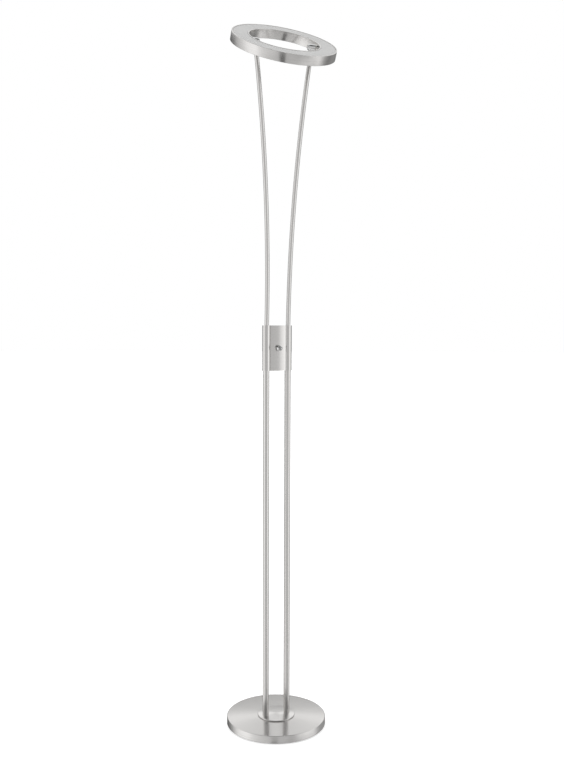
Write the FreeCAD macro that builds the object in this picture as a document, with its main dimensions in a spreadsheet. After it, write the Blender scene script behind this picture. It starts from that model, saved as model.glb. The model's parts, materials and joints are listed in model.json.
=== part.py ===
"""Torchiere floor lamp: a weighted round base, two tubes, a sleeve with a rotary
dimmer, two flaring rods and a ring-shaped light head that tilts between them.

Model frame, in millimetres: the origin is the centre of the base's underside,
+Z is up, +X runs from the left tube to the right one, and the front, where the
dimmer knob is, looks along -Y.
"""
import FreeCAD, Part
import math
import os
import re
import Sketcher

Vector = FreeCAD.Vector
X_AXIS = Vector(1, 0, 0)
Y_AXIS = Vector(0, 1, 0)
Z_AXIS = Vector(0, 0, 1)

# Driving sizes: every name is an alias in the spreadsheet "Sizes".
SIZES = {
    # base
    "base_radius": 128.0,         # outside of the pressed shell
    "base_height": 20.5,          # top face of the shell
    "shell_wall": 1.5,
    "shell_edge": 2.5,            # rounding between top face and skirt
    "skirt_gap": 1.0,             # skirt's lower rim above the floor
    "pad_height": 2.0,            # the pads stand on the floor
    "pad_radius": 11.0,
    "pad_circle": 104.0,
    "pad_count": 5,
    "plate_thick": 1.5,
    "plate_gap": 0.6,             # between bottom plate and skirt
    "weight_radius": 116.0,
    "weight_hole": 8.0,           # half width of the cord channel
    "channel_depth": 11.0,
    "channel_start": 34.0,        # where the channel begins, behind the centre
    "screw_circle": 84.0,         # screws that hold the bottom plate
    "screw_count": 4,
    "screw_radius": 2.0,
    "screw_head": 4.0,
    "screw_length": 9.0,
    "collar_radius": 48.0,
    "collar_height": 3.2,
    "collar_edge": 1.0,
    "gland_height": 10.5,         # axis of the cord inlet
    "gland_bore": 3.2,
    "gland_neck": 4.6,
    "gland_flange": 6.6,
    "flange_thick": 2.0,
    "block_width": 12.0,          # terminal block in the cord channel
    "block_length": 24.0,
    "block_height": 8.0,
    # stem
    "half_spacing": 29.0,         # tube axis from the middle plane
    "tube_radius": 8.0,
    "tube_wall": 1.2,
    "plug_length": 26.0,          # threaded plug in each tube's foot
    "nipple_radius": 5.0,
    "nipple_bore": 3.4,
    "nipple_reach": 20.0,         # how far the nipple screws into the plug
    "nut_pocket": 12.5,           # radius of the pocket round each nut
    "nut_pocket_depth": 8.5,
    "washer_radius": 10.0,
    "washer_thick": 1.2,
    "nut_radius": 8.6,            # over the corners
    "nut_height": 5.0,
    # sleeve and dimmer
    "sleeve_bottom": 920.5,
    "sleeve_height": 115.0,
    "sleeve_wall": 2.3,           # of the round lobes about the tubes
    "web_half_depth": 8.2,        # flat web between the lobes
    "sleeve_chamfer": 0.8,
    "tube_seat": 35.0,
    "rod_seat": 34.0,
    "wire_bore": 4.2,             # way for the wires between tube and rod
    "pocket_half_width": 18.0,
    "pocket_height": 64.0,
    "front_wall": 2.2,
    "window_height": 26.0,        # between the pocket and the wire ways
    "cover_thick": 1.6,
    "cover_lip": 2.6,             # ledge that the cover lies on
    "grub_radius": 2.0,
    "grub_offset": 16.0,          # grub screws from the sleeve's ends
    "pot_size": 17.0,
    "pot_depth": 8.0,
    "bush_radius": 3.8,
    "bush_reach": 3.2,            # past the sleeve's front face
    "shaft_radius": 3.0,
    "shaft_play": 0.06,
    "shaft_inside": 5.0,
    "panel_nut_radius": 6.4,
    "panel_nut_height": 1.8,
    "board_thick": 1.6,
    "board_half_width": 15.5,
    "board_height": 54.0,
    "knob_radius": 7.6,
    "knob_depth": 14.4,
    "knob_front": 30.0,           # knob's front face from the tubes' plane
    "knob_dome": 6.1,             # rounding of the front, nearly a half ball
    "knob_edge": 3.0,             # rounding of the back
    "knob_neck": 4.4,
    "knob_clear": 0.8,            # between the knob's neck and the bush
    # rods and pivots
    "rod_radius": 5.5,
    "rod_wall": 1.0,
    "lean_gap": 2.0,              # straight stretch above the sleeve
    "lean_radius": 60.0,
    "flare_gap": 24.5,            # from the sleeve's top to the start of the flare
    "pivot_height": 1722.8,
    "pivot_forward": 41.0,
    "rod_end_half": 74.3,         # rod axis from the middle plane, at the pivot
    "rod_end_gap": 1.0,           # between the rod's end and the pivot screw
    "knuckle_radius": 8.3,
    "knuckle_inside": 8.4,        # barrel's length inward of the rod's axis
    "knuckle_edge": 0.8,
    "pin_radius": 3.0,
    "pin_play": 0.05,
    "pin_head_radius": 6.6,
    "pin_head_thick": 2.4,
    "pivot_gap": 0.15,
    "friction_washer": 1.2,
    "boss_length": 3.6,           # from the washer to the ring's inner wall
    "boss_neck": 5.0,
    "boss_inside": 3.0,
    # light head, about its own centre with +Z towards the diffuser
    "head_tilt": 31.0,
    "ring_outer": 131.4,
    "ring_inner": 87.6,
    "ring_height": 23.0,
    "ring_wall": 1.6,
    "rim_width": 3.2,             # lips on both sides of the diffuser
    "ledge_width": 1.6,
    "ledge_height": 4.0,
    "diffuser_thick": 3.0,
    "diffuser_recess": 0.7,
    "diffuser_play": 0.3,
    "tray_thick": 1.2,
    "tray_play": 0.8,
    "post_radius": 3.0,
    "post_count": 6,
    "post_height": 9.0,
    "post_edge": 6.1,             # post axis from the outer wall
    "led_board_thick": 1.4,
    "board_margin": 3.5,          # LED board from the tray's inner edge
    "board_play": 1.2,            # LED board from the posts
    "led_count": 48,
    "led_length": 5.0,
    "led_width": 3.0,
    "led_height": 0.8,
    "driver_thick": 1.6,
    "driver_play": 8.0,           # driver board from the ring's walls
    "driver_sweep": 50.0,         # degrees
    "driver_lift": 1.2,
    "part_height": 4.5,
}

doc = FreeCAD.newDocument("TorchiereLamp")
sheet = doc.addObject("Spreadsheet::Sheet", "Sizes")
for row, (alias, number) in enumerate(SIZES.items(), start=1):
    sheet.set(f"A{row}", alias)
    sheet.set(f"B{row}", str(number))
    sheet.setAlias(f"B{row}", alias)
doc.recompute()


def size(name):
    """Value of one driving size, read from the spreadsheet."""
    return float(sheet.get(name))


def formula(text):
    """Turn size names in a text into references to the spreadsheet."""
    return re.sub(r"[a-z]+(?:_[a-z]+)+", lambda found: "Sizes." + found.group(0), text)


def bind(item, **properties):
    """Bind properties of an object to formulas over the driving sizes."""
    for name, text in properties.items():
        item.setExpression(name, formula(text))


def place(item, x="0", y="0", z="0", axis=Z_AXIS, angle="0"):
    """Bind an object's placement to formulas, turned about one fixed axis."""
    item.Placement = FreeCAD.Placement(Vector(), FreeCAD.Rotation(axis, 1.0))
    item.setExpression("Placement.Base.x", formula(x))
    item.setExpression("Placement.Base.y", formula(y))
    item.setExpression("Placement.Base.z", formula(z))
    item.setExpression("Placement.Rotation.Angle", formula(angle))
    return item


nodes = []


def node(item, name):
    """Name a sub-part: its label is the name of its file."""
    item.Label = name
    nodes.append(item)
    return item


def in_head(item):
    """Move a piece drawn about the head's centre to the tilted head."""
    return place(item, y="-pivot_forward", z="pivot_height", axis=X_AXIS, angle="head_tilt")


# ---- Part primitives ----

def cylinder(name, radius, height, **where):
    item = doc.addObject("Part::Cylinder", name)
    bind(item, Radius=radius, Height=height)
    return place(item, **where)


def block(name, length, width, height, **where):
    item = doc.addObject("Part::Box", name)
    bind(item, Length=length, Width=width, Height=height)
    return place(item, **where)


def cone(name, lower, upper, height, **where):
    item = doc.addObject("Part::Cone", name)
    bind(item, Radius1=lower, Radius2=upper, Height=height)
    return place(item, **where)


def hexagon(name, radius, height, **where):
    item = doc.addObject("Part::Prism", name)
    item.Polygon = 6
    bind(item, Circumradius=radius, Height=height)
    return place(item, **where)


def cut(name, base, tool):
    item = doc.addObject("Part::Cut", name)
    item.Base = base
    item.Tool = tool
    return item


def fuse(name, pieces):
    item = doc.addObject("Part::MultiFuse", name)
    item.Shapes = pieces
    return item


def group(name, pieces):
    """One node that holds several separate, identical solids."""
    item = doc.addObject("Part::Compound", name)
    item.Links = pieces
    return item


# ---- PartDesign features ----

def new_body(name):
    return node(doc.addObject("PartDesign::Body", name), name)


def new_sketch(body, name, role):
    """Sketch on one of the body's own origin planes."""
    sketch = body.newObject("Sketcher::SketchObject", name)
    plane = next(item for item in body.Origin.OriginFeatures if item.Role == role)
    sketch.AttachmentSupport = [(plane, "")]
    sketch.MapMode = "FlatFace"
    return sketch


def locate(sketch, geometry, point, x, y):
    """Fix one point of a sketch at a place given by two formulas."""
    for kind, text in (("DistanceX", x), ("DistanceY", y)):
        index = sketch.addConstraint(Sketcher.Constraint(kind, -1, 1, geometry, point, 1.0))
        sketch.setExpression(f"Constraints[{index}]", formula(text))


def draw_polygon(sketch, corners):
    """Closed outline through corners given as pairs of formulas."""
    count = len(corners)
    starts = [Vector(math.cos(2 * math.pi * i / count), math.sin(2 * math.pi * i / count), 0)
              for i in range(count)]
    first = sketch.GeometryCount
    for i in range(count):
        sketch.addGeometry(Part.LineSegment(starts[i], starts[(i + 1) % count]), False)
    for i in range(count):
        following = first + (i + 1) % count
        sketch.addConstraint(Sketcher.Constraint("Coincident", first + i, 2, following, 1))
    for i, (x, y) in enumerate(corners):
        locate(sketch, first + i, 1, x, y)


def draw_circle(sketch, radius, x="0", y="0"):
    index = sketch.addGeometry(Part.Circle(Vector(1, 1, 0), Z_AXIS, 5.0), False)
    locate(sketch, index, 3, x, y)
    constraint = sketch.addConstraint(Sketcher.Constraint("Radius", index, 5.0))
    sketch.setExpression(f"Constraints[{constraint}]", formula(radius))


def draw_rectangle(sketch, left, right, low, high):
    draw_polygon(sketch, [(left, low), (right, low), (right, high), (left, high)])


def revolve(body, sketch):
    """Full turn about the sketch's vertical axis."""
    feature = body.newObject("PartDesign::Revolution", sketch.Name + "_turn")
    feature.Profile = sketch
    feature.ReferenceAxis = (sketch, ["V_Axis"])
    feature.Angle = 360.0
    return feature


def extrude(body, sketch, length, kind="Pad", backwards=False, start=None):
    """Pad or Pocket of one sketch, checked to change the body's volume."""
    if start is not None:
        sketch.setExpression("AttachmentOffset.Base.z", formula(start))
    doc.recompute()
    before = body.Shape.Volume if kind == "Pocket" else 0.0
    feature = body.newObject("PartDesign::" + kind, sketch.Name + "_" + kind.lower())
    feature.Profile = sketch
    feature.Type = 0
    bind(feature, Length=length)
    feature.Reversed = backwards
    doc.recompute()
    if kind == "Pocket" and body.Shape.Volume >= before - 1e-6:
        raise RuntimeError(f"{feature.Name} removes nothing")
    return feature


def soften(body, feature, kind, amount, edges):
    """Fillet or chamfer the edges that a test picks."""
    doc.recompute()
    names = [f"Edge{i}" for i, edge in enumerate(feature.Shape.Edges, start=1) if edges(edge)]
    item = body.newObject("PartDesign::" + kind, f"{body.Name}_{kind.lower()}")
    item.Base = (feature, names)
    bind(item, **{"Radius" if kind == "Fillet" else "Size": amount})
    body.Tip = item
    return item


def circle_at(edge, radius, z):
    """True for a full circle of one radius at one height about the Z axis."""
    if not isinstance(edge.Curve, Part.Circle):
        return False
    return abs(edge.Curve.Radius - radius) < 1e-3 and abs(edge.Curve.Center.z - z) < 1e-3


# ---- base ----

def base_shell():
    """Pressed steel cover, open below, with holes for the nipples and the gland."""
    body = new_body("base_shell")
    profile = new_sketch(body, "shell_profile", "XZ_Plane")
    draw_polygon(profile, [
        ("0", "base_height - shell_wall"),
        ("base_radius - shell_wall", "base_height - shell_wall"),
        ("base_radius - shell_wall", "skirt_gap"),
        ("base_radius", "skirt_gap"),
        ("base_radius", "base_height"),
        ("0", "base_height"),
    ])
    turned = revolve(body, profile)
    rim = (size("base_radius"), size("base_height"))
    soften(body, turned, "Fillet", "shell_edge", lambda edge: circle_at(edge, *rim))
    holes = new_sketch(body, "shell_holes", "XY_Plane")
    for side in ("-half_spacing", "half_spacing"):
        draw_circle(holes, "nipple_radius", side)
    extrude(body, holes, "base_height + shell_wall", "Pocket", backwards=True)
    inlet = new_sketch(body, "shell_inlet", "XZ_Plane")
    draw_circle(inlet, "gland_neck", "0", "gland_height")
    extrude(body, inlet, "base_radius + shell_wall", "Pocket")


def base_weight():
    """Cast disc that fills the shell, with nut pockets and the cord channel below."""
    body = new_body("base_weight")
    disc = new_sketch(body, "weight_disc", "XY_Plane")
    draw_circle(disc, "weight_radius")
    for side in ("-half_spacing", "half_spacing"):
        draw_circle(disc, "nipple_radius", side)
    extrude(body, disc, "base_height - shell_wall - pad_height - plate_thick",
            start="pad_height + plate_thick")
    pockets = new_sketch(body, "nut_pockets", "XY_Plane")
    for side in ("-half_spacing", "half_spacing"):
        draw_circle(pockets, "nut_pocket", side)
    extrude(body, pockets, "nut_pocket_depth", "Pocket", backwards=True, start="pad_height + plate_thick")
    channel = new_sketch(body, "cord_channel", "XY_Plane")
    draw_rectangle(channel, "-weight_hole", "weight_hole", "channel_start", "weight_radius + weight_hole")
    extrude(body, channel, "channel_depth", "Pocket", backwards=True, start="pad_height + plate_thick")
    branch = new_sketch(body, "wire_branch", "XY_Plane")
    draw_rectangle(branch, "-half_spacing", "weight_hole", "-wire_bore", "wire_bore")
    draw_rectangle(branch, "-wire_bore", "wire_bore", "wire_bore + wire_bore", "channel_start + wire_bore")
    extrude(body, branch, "nut_pocket_depth", "Pocket", backwards=True, start="pad_height + plate_thick")
    link = new_sketch(body, "wire_link", "XY_Plane")
    draw_rectangle(link, "-wire_bore", "wire_bore", "0", "wire_bore * 3")
    extrude(body, link, "nut_pocket_depth", "Pocket", backwards=True, start="pad_height + plate_thick")
    threads = new_sketch(body, "plate_threads", "XY_Plane")
    for x, y in ring_of("screw", "screw_circle"):
        draw_circle(threads, "screw_radius", x, y)
    extrude(body, threads, "screw_length", "Pocket", backwards=True, start="pad_height + plate_thick")


def ring_of(kind, radius, phase=45.0):
    """Formulas of points spaced evenly on a circle about the axis."""
    count = int(size(kind + "_count"))
    places = []
    for i in range(count):
        angle = math.radians(phase + 360.0 * i / count)
        places.append((f"{radius} * {math.cos(angle):.9f}", f"{radius} * {math.sin(angle):.9f}"))
    return places


def bottom_plate():
    """Flat steel cover under the weight, countersunk for its screws."""
    plate = cylinder("plate_disc", "base_radius - shell_wall - plate_gap", "plate_thick", z="pad_height")
    sinks = [cone(f"plate_sink_{i}", "screw_head", "screw_radius", "plate_thick", x=x, y=y, z="pad_height")
             for i, (x, y) in enumerate(ring_of("screw", "screw_circle"))]
    node(cut("bottom_plate", plate, fuse("plate_sinks", sinks)), "bottom_plate")


def plate_screws():
    """Countersunk screws that hold the bottom plate to the weight."""
    screws = []
    for i, (x, y) in enumerate(ring_of("screw", "screw_circle")):
        head = cone(f"plate_screw_head_{i}", "screw_head", "screw_radius", "plate_thick",
                    x=x, y=y, z="pad_height")
        shank = cylinder(f"plate_screw_shank_{i}", "screw_radius", "screw_length",
                         x=x, y=y, z="pad_height + plate_thick")
        drive = block(f"plate_screw_slot_{i}", "screw_radius * 2", "screw_radius / 3", "plate_thick / 2",
                      x=f"{x} - screw_radius", y=f"{y} - screw_radius / 6", z="pad_height")
        screws.append(cut(f"plate_screw_{i}", fuse(f"plate_screw_blank_{i}", [head, shank]), drive))
    node(group("plate_screws", screws), "plate_screws")


def foot_pads():
    """Anti-slip pads: a ring of them near the rim and one in the middle."""
    pads = [cylinder("pad_middle", "pad_radius", "pad_height")]
    for i, (x, y) in enumerate(ring_of("pad", "pad_circle", phase=90.0 - 180.0 / size("pad_count"))):
        pads.append(cylinder(f"pad_{i}", "pad_radius", "pad_height", x=x, y=y))
    node(group("foot_pads", pads), "foot_pads")


def collar():
    """Low turned disc that covers the joint between tubes and base."""
    body = new_body("collar")
    sketch = new_sketch(body, "collar_disc", "XY_Plane")
    draw_circle(sketch, "collar_radius")
    for side in ("-half_spacing", "half_spacing"):
        draw_circle(sketch, "tube_radius", side)
    disc = extrude(body, sketch, "collar_height", start="base_height")
    rim = (size("collar_radius"), size("base_height") + size("collar_height"))
    soften(body, disc, "Fillet", "collar_edge", lambda edge: circle_at(edge, *rim))


def cord_gland():
    """Rubber bushing in the back of the skirt, snapped in by its two flanges."""
    back = {"axis": X_AXIS, "angle": "-90", "z": "gland_height"}
    inner_face = "sqrt((base_radius - shell_wall)^2 - gland_flange^2)"
    pieces = [
        cylinder("gland_outer", "gland_flange", "flange_thick", y="base_radius", **back),
        cylinder("gland_through", "gland_neck", f"base_radius - {inner_face}", y=inner_face, **back),
        cylinder("gland_inner", "gland_flange", "flange_thick", y=f"{inner_face} - flange_thick", **back),
    ]
    bore = cylinder("gland_hole", "gland_bore", "base_radius", y="base_radius / 2", **back)
    node(cut("cord_gland", fuse("gland_blank", pieces), bore), "cord_gland")


def terminal_block():
    """Two-way terminal that joins the cord to the lamp's wires."""
    roof = "pad_height + plate_thick + channel_depth - block_height"
    blank = block("terminal_blank", "block_width", "block_length", "block_height",
                  x="-block_width / 2", y="channel_start + wire_bore", z=roof)
    ways = []
    for i in (-1, 1):
        way = cylinder(f"terminal_way_{i + 1}", "block_width / 8", "block_length",
                       x=f"block_width / 4 * {i}", y="channel_start + wire_bore", z=f"{roof} + block_height / 3",
                       axis=X_AXIS, angle="-90")
        ways.append(way)
    node(cut("terminal_block", blank, fuse("terminal_ways", ways)), "terminal_block")


# ---- tubes ----

def tube(side_name, side):
    """One of the two straight tubes, from the base's top into the sleeve."""
    body = new_body(side_name + "_tube")
    sketch = new_sketch(body, side_name + "_tube_ring", "XY_Plane")
    draw_circle(sketch, "tube_radius")
    draw_circle(sketch, "tube_radius - tube_wall")
    extrude(body, sketch, "sleeve_bottom + tube_seat - base_height")
    place(body, x=f"half_spacing * {side}", z="base_height")


def tube_feet():
    """Threaded plugs in the tubes, and the nipples, washers and nuts that clamp the base."""
    plugs, nipples, washers, nuts = [], [], [], []
    pocket_roof = "pad_height + plate_thick + nut_pocket_depth"
    for name, side in (("left", -1), ("right", 1)):
        x = f"half_spacing * {side}"
        plug = cylinder(name + "_plug_blank", "tube_radius - tube_wall", "plug_length", x=x, z="base_height")
        thread = cylinder(name + "_plug_bore", "nipple_radius", "plug_length", x=x, z="base_height")
        plugs.append(cut(name + "_plug", plug, thread))
        nipple_low = f"{pocket_roof} - washer_thick - nut_height - 1"
        nipple_top = "base_height + nipple_reach"
        nipple_length = f"{nipple_top} - ({nipple_low})"
        nipple = cylinder(name + "_nipple_blank", "nipple_radius", nipple_length, x=x, z=nipple_low)
        way = cylinder(name + "_nipple_bore", "nipple_bore", nipple_length, x=x, z=nipple_low)
        nipples.append(cut(name + "_nipple", nipple, way))
        washer_low = f"{pocket_roof} - washer_thick"
        disc = cylinder(name + "_washer_blank", "washer_radius", "washer_thick", x=x, z=washer_low)
        hole = cylinder(name + "_washer_bore", "nipple_radius", "washer_thick", x=x, z=washer_low)
        washers.append(cut(name + "_washer", disc, hole))
        nut_low = f"{pocket_roof} - washer_thick - nut_height"
        nut = hexagon(name + "_nut_blank", "nut_radius", "nut_height", x=x, z=nut_low)
        bore = cylinder(name + "_nut_bore", "nipple_radius", "nut_height", x=x, z=nut_low)
        nuts.append(cut(name + "_nut", nut, bore))
    node(group("tube_plugs", plugs), "tube_plugs")
    node(group("base_nipples", nipples), "base_nipples")
    node(group("base_washers", washers), "base_washers")
    node(group("base_nuts", nuts), "base_nuts")


# ---- sleeve and dimmer ----

def sleeve_body():
    """Die-cast sleeve: two round lobes about the tubes, joined by a flat web."""
    body = new_body("sleeve_body")
    place(body, z="sleeve_bottom")
    web = new_sketch(body, "sleeve_web", "XY_Plane")
    draw_rectangle(web, "-half_spacing", "half_spacing", "-web_half_depth", "web_half_depth")
    extrude(body, web, "sleeve_height")
    for name, side in (("left", "-half_spacing"), ("right", "half_spacing")):
        lobe = new_sketch(body, name + "_lobe", "XY_Plane")
        draw_circle(lobe, "tube_radius + sleeve_wall", side)
        solid = extrude(body, lobe, "sleeve_height")
    top = size("sleeve_height")

    def at_an_end(edge):
        low, high = edge.BoundBox.ZMin, edge.BoundBox.ZMax
        return high - low < 1e-3 and (abs(low) < 1e-3 or abs(low - top) < 1e-3)

    soften(body, solid, "Chamfer", "sleeve_chamfer", at_an_end)
    for name, side in (("left", "-half_spacing"), ("right", "half_spacing")):
        seat = new_sketch(body, name + "_tube_seat", "XY_Plane")
        draw_circle(seat, "tube_radius", side)
        extrude(body, seat, "tube_seat", "Pocket", backwards=True)
        way = new_sketch(body, name + "_wire_way", "XY_Plane")
        draw_circle(way, "wire_bore", side)
        extrude(body, way, "sleeve_height - tube_seat", "Pocket", backwards=True, start="tube_seat")
        socket = new_sketch(body, name + "_rod_seat", "XY_Plane")
        draw_circle(socket, "rod_radius", side, "-(tube_radius - rod_radius)")
        extrude(body, socket, "rod_seat", "Pocket", backwards=True, start="sleeve_height - rod_seat")
    pocket = new_sketch(body, "dimmer_pocket", "XZ_Plane")
    draw_rectangle(pocket, "-pocket_half_width", "pocket_half_width",
                   "(sleeve_height - pocket_height) / 2", "(sleeve_height + pocket_height) / 2")
    extrude(body, pocket, "web_half_depth * 2 - front_wall", "Pocket", backwards=True,
            start="-web_half_depth")
    ledge = new_sketch(body, "cover_ledge", "XZ_Plane")
    draw_rectangle(ledge, "-pocket_half_width - cover_lip", "pocket_half_width + cover_lip",
                   "(sleeve_height - pocket_height) / 2 - cover_lip",
                   "(sleeve_height + pocket_height) / 2 + cover_lip")
    extrude(body, ledge, "cover_thick", "Pocket", backwards=True, start="-web_half_depth")
    window = new_sketch(body, "wire_windows", "XZ_Plane")
    draw_rectangle(window, "-half_spacing", "half_spacing",
                   "(sleeve_height - window_height) / 2", "(sleeve_height + window_height) / 2")
    extrude(body, window, "wire_bore", "Pocket", backwards=True, start="-wire_bore / 2")
    bush = new_sketch(body, "bush_hole", "XZ_Plane")
    draw_circle(bush, "bush_radius", "0", "sleeve_height / 2")
    extrude(body, bush, "web_half_depth", "Pocket", backwards=True)
    for name, height in (("tube", "grub_offset"), ("rod", "sleeve_height - grub_offset")):
        thread = new_sketch(body, name + "_grub_threads", "XZ_Plane")
        for side in ("-half_spacing", "half_spacing"):
            draw_circle(thread, "grub_radius", side, height)
        extrude(body, thread, "tube_radius + sleeve_wall", "Pocket", backwards=True,
                start="-(tube_radius + sleeve_wall)")


def grub_screws():
    """Set screws from behind: two against the tubes, two against the rods."""
    screws = []
    rod_back = "rod_radius - (tube_radius - rod_radius)"
    for name, side in (("left", -1), ("right", 1)):
        for part, height, tip in (("tube", "sleeve_bottom + grub_offset", "tube_radius"),
                                  ("rod", "sleeve_bottom + sleeve_height - grub_offset", rod_back)):
            where = {"x": f"half_spacing * {side}", "z": height, "axis": X_AXIS, "angle": "-90"}
            tail = "tube_radius + sleeve_wall - shaft_play"
            shank = cylinder(f"{name}_{part}_grub_shank", "grub_radius", f"{tail} - ({tip})", y=tip, **where)
            hex_depth = f"({tail} - ({tip})) / 2"
            key = hexagon(f"{name}_{part}_grub_hex", "grub_radius / 2", hex_depth,
                          y=f"{tail} - {hex_depth}", **where)
            screws.append(cut(f"{name}_{part}_grub", shank, key))
    node(group("grub_screws", screws), "grub_screws")


def sleeve_cover():
    """Thin plate that closes the dimmer pocket behind, and its two screws."""
    back = "web_half_depth - cover_thick"
    middle = "sleeve_bottom + sleeve_height / 2"
    plate = block("cover_plate", "(pocket_half_width + cover_lip) * 2", "cover_thick",
                  "pocket_height + cover_lip * 2", x="-pocket_half_width - cover_lip", y=back,
                  z=f"{middle} - pocket_height / 2 - cover_lip")
    sinks, screws = [], []
    for name, sign in (("lower", "-"), ("upper", "+")):
        where = {"z": f"{middle} {sign} pocket_height / 2 {sign} cover_lip / 2",
                 "axis": X_AXIS, "angle": "-90"}
        sinks.append(cylinder(name + "_cover_hole", "cover_lip / 3", "cover_thick", y=back, **where))
        shank = cylinder(name + "_cover_shank", "cover_lip / 3", "cover_thick", y=back, **where)
        cap = cylinder(name + "_cover_head", "cover_lip / 1.6", "cover_thick / 2",
                       y="web_half_depth", **where)
        slot = block(name + "_cover_slot", "cover_lip * 2", "cover_thick", "cover_thick / 4", x="-cover_lip",
                     y="web_half_depth + cover_thick / 4", z=where["z"] + " - cover_thick / 8")
        screws.append(cut(name + "_cover_screw", fuse(name + "_cover_blank", [shank, cap]), slot))
    node(cut("sleeve_cover", plate, fuse("cover_holes", sinks)), "sleeve_cover")
    node(group("cover_screws", screws), "cover_screws")


def dimmer():
    """Rotary dimmer: its case with a threaded bush, panel nut, board and shaft."""
    middle = "sleeve_bottom + sleeve_height / 2"
    wall_inside = "-(web_half_depth - front_wall)"
    case = block("pot_case", "pot_size", "pot_depth", "pot_size",
                 x="-pot_size / 2", y=wall_inside, z=f"{middle} - pot_size / 2")
    ahead = {"z": middle, "axis": X_AXIS, "angle": "90"}
    bush = cylinder("pot_bush", "bush_radius", "front_wall + bush_reach", y=wall_inside, **ahead)
    way = cylinder("pot_bore", "shaft_radius + shaft_play", "shaft_inside + front_wall + bush_reach + 1",
                   y=f"{wall_inside} + shaft_inside + shaft_play", **ahead)
    node(cut("dimmer_case", fuse("dimmer_case_blank", [case, bush]), way), "dimmer_case")
    nut = hexagon("panel_nut_blank", "panel_nut_radius", "panel_nut_height", y="-web_half_depth", **ahead)
    hole = cylinder("panel_nut_bore", "bush_radius", "panel_nut_height", y="-web_half_depth", **ahead)
    node(cut("dimmer_nut", nut, hole), "dimmer_nut")
    board_front = f"{wall_inside} + pot_depth"
    board = block("dimmer_board", "board_half_width * 2", "board_thick", "board_height",
                  x="-board_half_width", y=board_front, z=f"{middle} - board_height / 2")
    node(board, "dimmer_board")
    triac = block("dimmer_triac", "pot_size / 2", "pot_depth / 2", "pot_size / 2",
                  x="-pot_size / 4", y=f"{board_front} - pot_depth / 2", z=f"{middle} + pot_size * 0.7")
    coil = cylinder("dimmer_coil", "pot_size / 4", "pot_depth * 0.75", y=board_front,
                    z=f"{middle} - pot_size * 0.95", axis=X_AXIS, angle="90")
    node(group("dimmer_parts", [triac, coil]), "dimmer_parts")
    shaft = cylinder("dimmer_shaft", "shaft_radius",
                     f"knob_front - knob_dome + ({wall_inside}) + shaft_inside",
                     y=f"{wall_inside} + shaft_inside", **ahead)
    node(shaft, "dimmer_shaft")


def dimmer_knob():
    """Turned knob: a rounded head on a thinner neck, with a blind bore."""
    body = new_body("dimmer_knob")
    profile = new_sketch(body, "knob_profile", "XZ_Plane")
    neck_end = "knob_front - web_half_depth - bush_reach - knob_clear"
    draw_polygon(profile, [
        ("shaft_radius", "knob_dome"),
        ("shaft_radius", neck_end),
        ("knob_neck", neck_end),
        ("knob_neck", "knob_depth"),
        ("knob_radius", "knob_depth"),
        ("knob_radius", "0"),
        ("0", "0"),
        ("0", "knob_dome"),
    ])
    turned = revolve(body, profile)
    front = soften(body, turned, "Fillet", "knob_dome",
                   lambda edge: circle_at(edge, size("knob_radius"), 0.0))
    soften(body, front, "Fillet", "knob_edge",
           lambda edge: circle_at(edge, size("knob_radius"), size("knob_depth")))
    place(body, y="-knob_front", z="sleeve_bottom + sleeve_height / 2", axis=X_AXIS, angle="-90")


# ---- rods and pivots ----

def rod_path(side):
    """Centre line of a rod: up out of the sleeve, leaning forward, then flaring outward.

    Returns the wire and the curve's end, short of the pivot screw.
    """
    sleeve_top = size("sleeve_bottom") + size("sleeve_height")
    forward = size("tube_radius") - size("rod_radius")
    corner = Vector(side * size("half_spacing"), -forward, sleeve_top + size("lean_gap"))
    lean = math.atan2(size("pivot_forward") - forward, size("pivot_height") - corner.z)
    along = Vector(0, -math.sin(lean), math.cos(lean))
    out = Vector(side, 0, 0)
    tangent = size("lean_radius") * math.tan(lean / 2)
    bend_start = corner - Z_AXIS * tangent
    bend_end = corner + along * tangent
    bend_centre = bend_start + Vector(0, -size("lean_radius"), 0)
    half_turn = lean / 2
    bend_middle = bend_centre + Vector(0, math.cos(half_turn), math.sin(half_turn)) * size("lean_radius")
    flare_start = corner + along * ((size("flare_gap") - size("lean_gap")) / math.cos(lean))
    rise = (size("pivot_height") - flare_start.z) / math.cos(lean)
    spread = size("rod_end_half") - size("half_spacing")
    radius = (rise ** 2 + spread ** 2) / (2 * spread)
    stop = size("pin_radius") + size("rod_end_gap")

    def on_flare(distance):
        turn = math.asin(distance / radius)
        return flare_start + along * distance + out * (radius * (1 - math.cos(turn)))

    end = on_flare(rise - stop)
    foot = Vector(corner.x, corner.y, sleeve_top - size("rod_seat"))
    edges = [
        Part.LineSegment(foot, bend_start).toShape(),
        Part.Arc(bend_start, bend_middle, bend_end).toShape(),
        Part.LineSegment(bend_end, flare_start).toShape(),
        Part.Arc(flare_start, on_flare((rise - stop) / 2), end).toShape(),
    ]
    return Part.Wire(edges), foot


def swept(wire, foot, radius):
    ring = Part.Wire(Part.Circle(foot, Z_AXIS, radius).toShape())
    return wire.makePipeShell([ring], True, False)


def solid_feature(shape, name):
    item = doc.addObject("Part::Feature", name)
    item.Shape = shape
    return node(item, name)


def rod(side_name, side):
    """Bent tube from the sleeve to the knuckle."""
    wire, foot = rod_path(side)
    outside = swept(wire, foot, size("rod_radius"))
    inside = swept(wire, foot, size("rod_radius") - size("rod_wall"))
    solid_feature(outside.cut(inside), side_name + "_rod")


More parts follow.
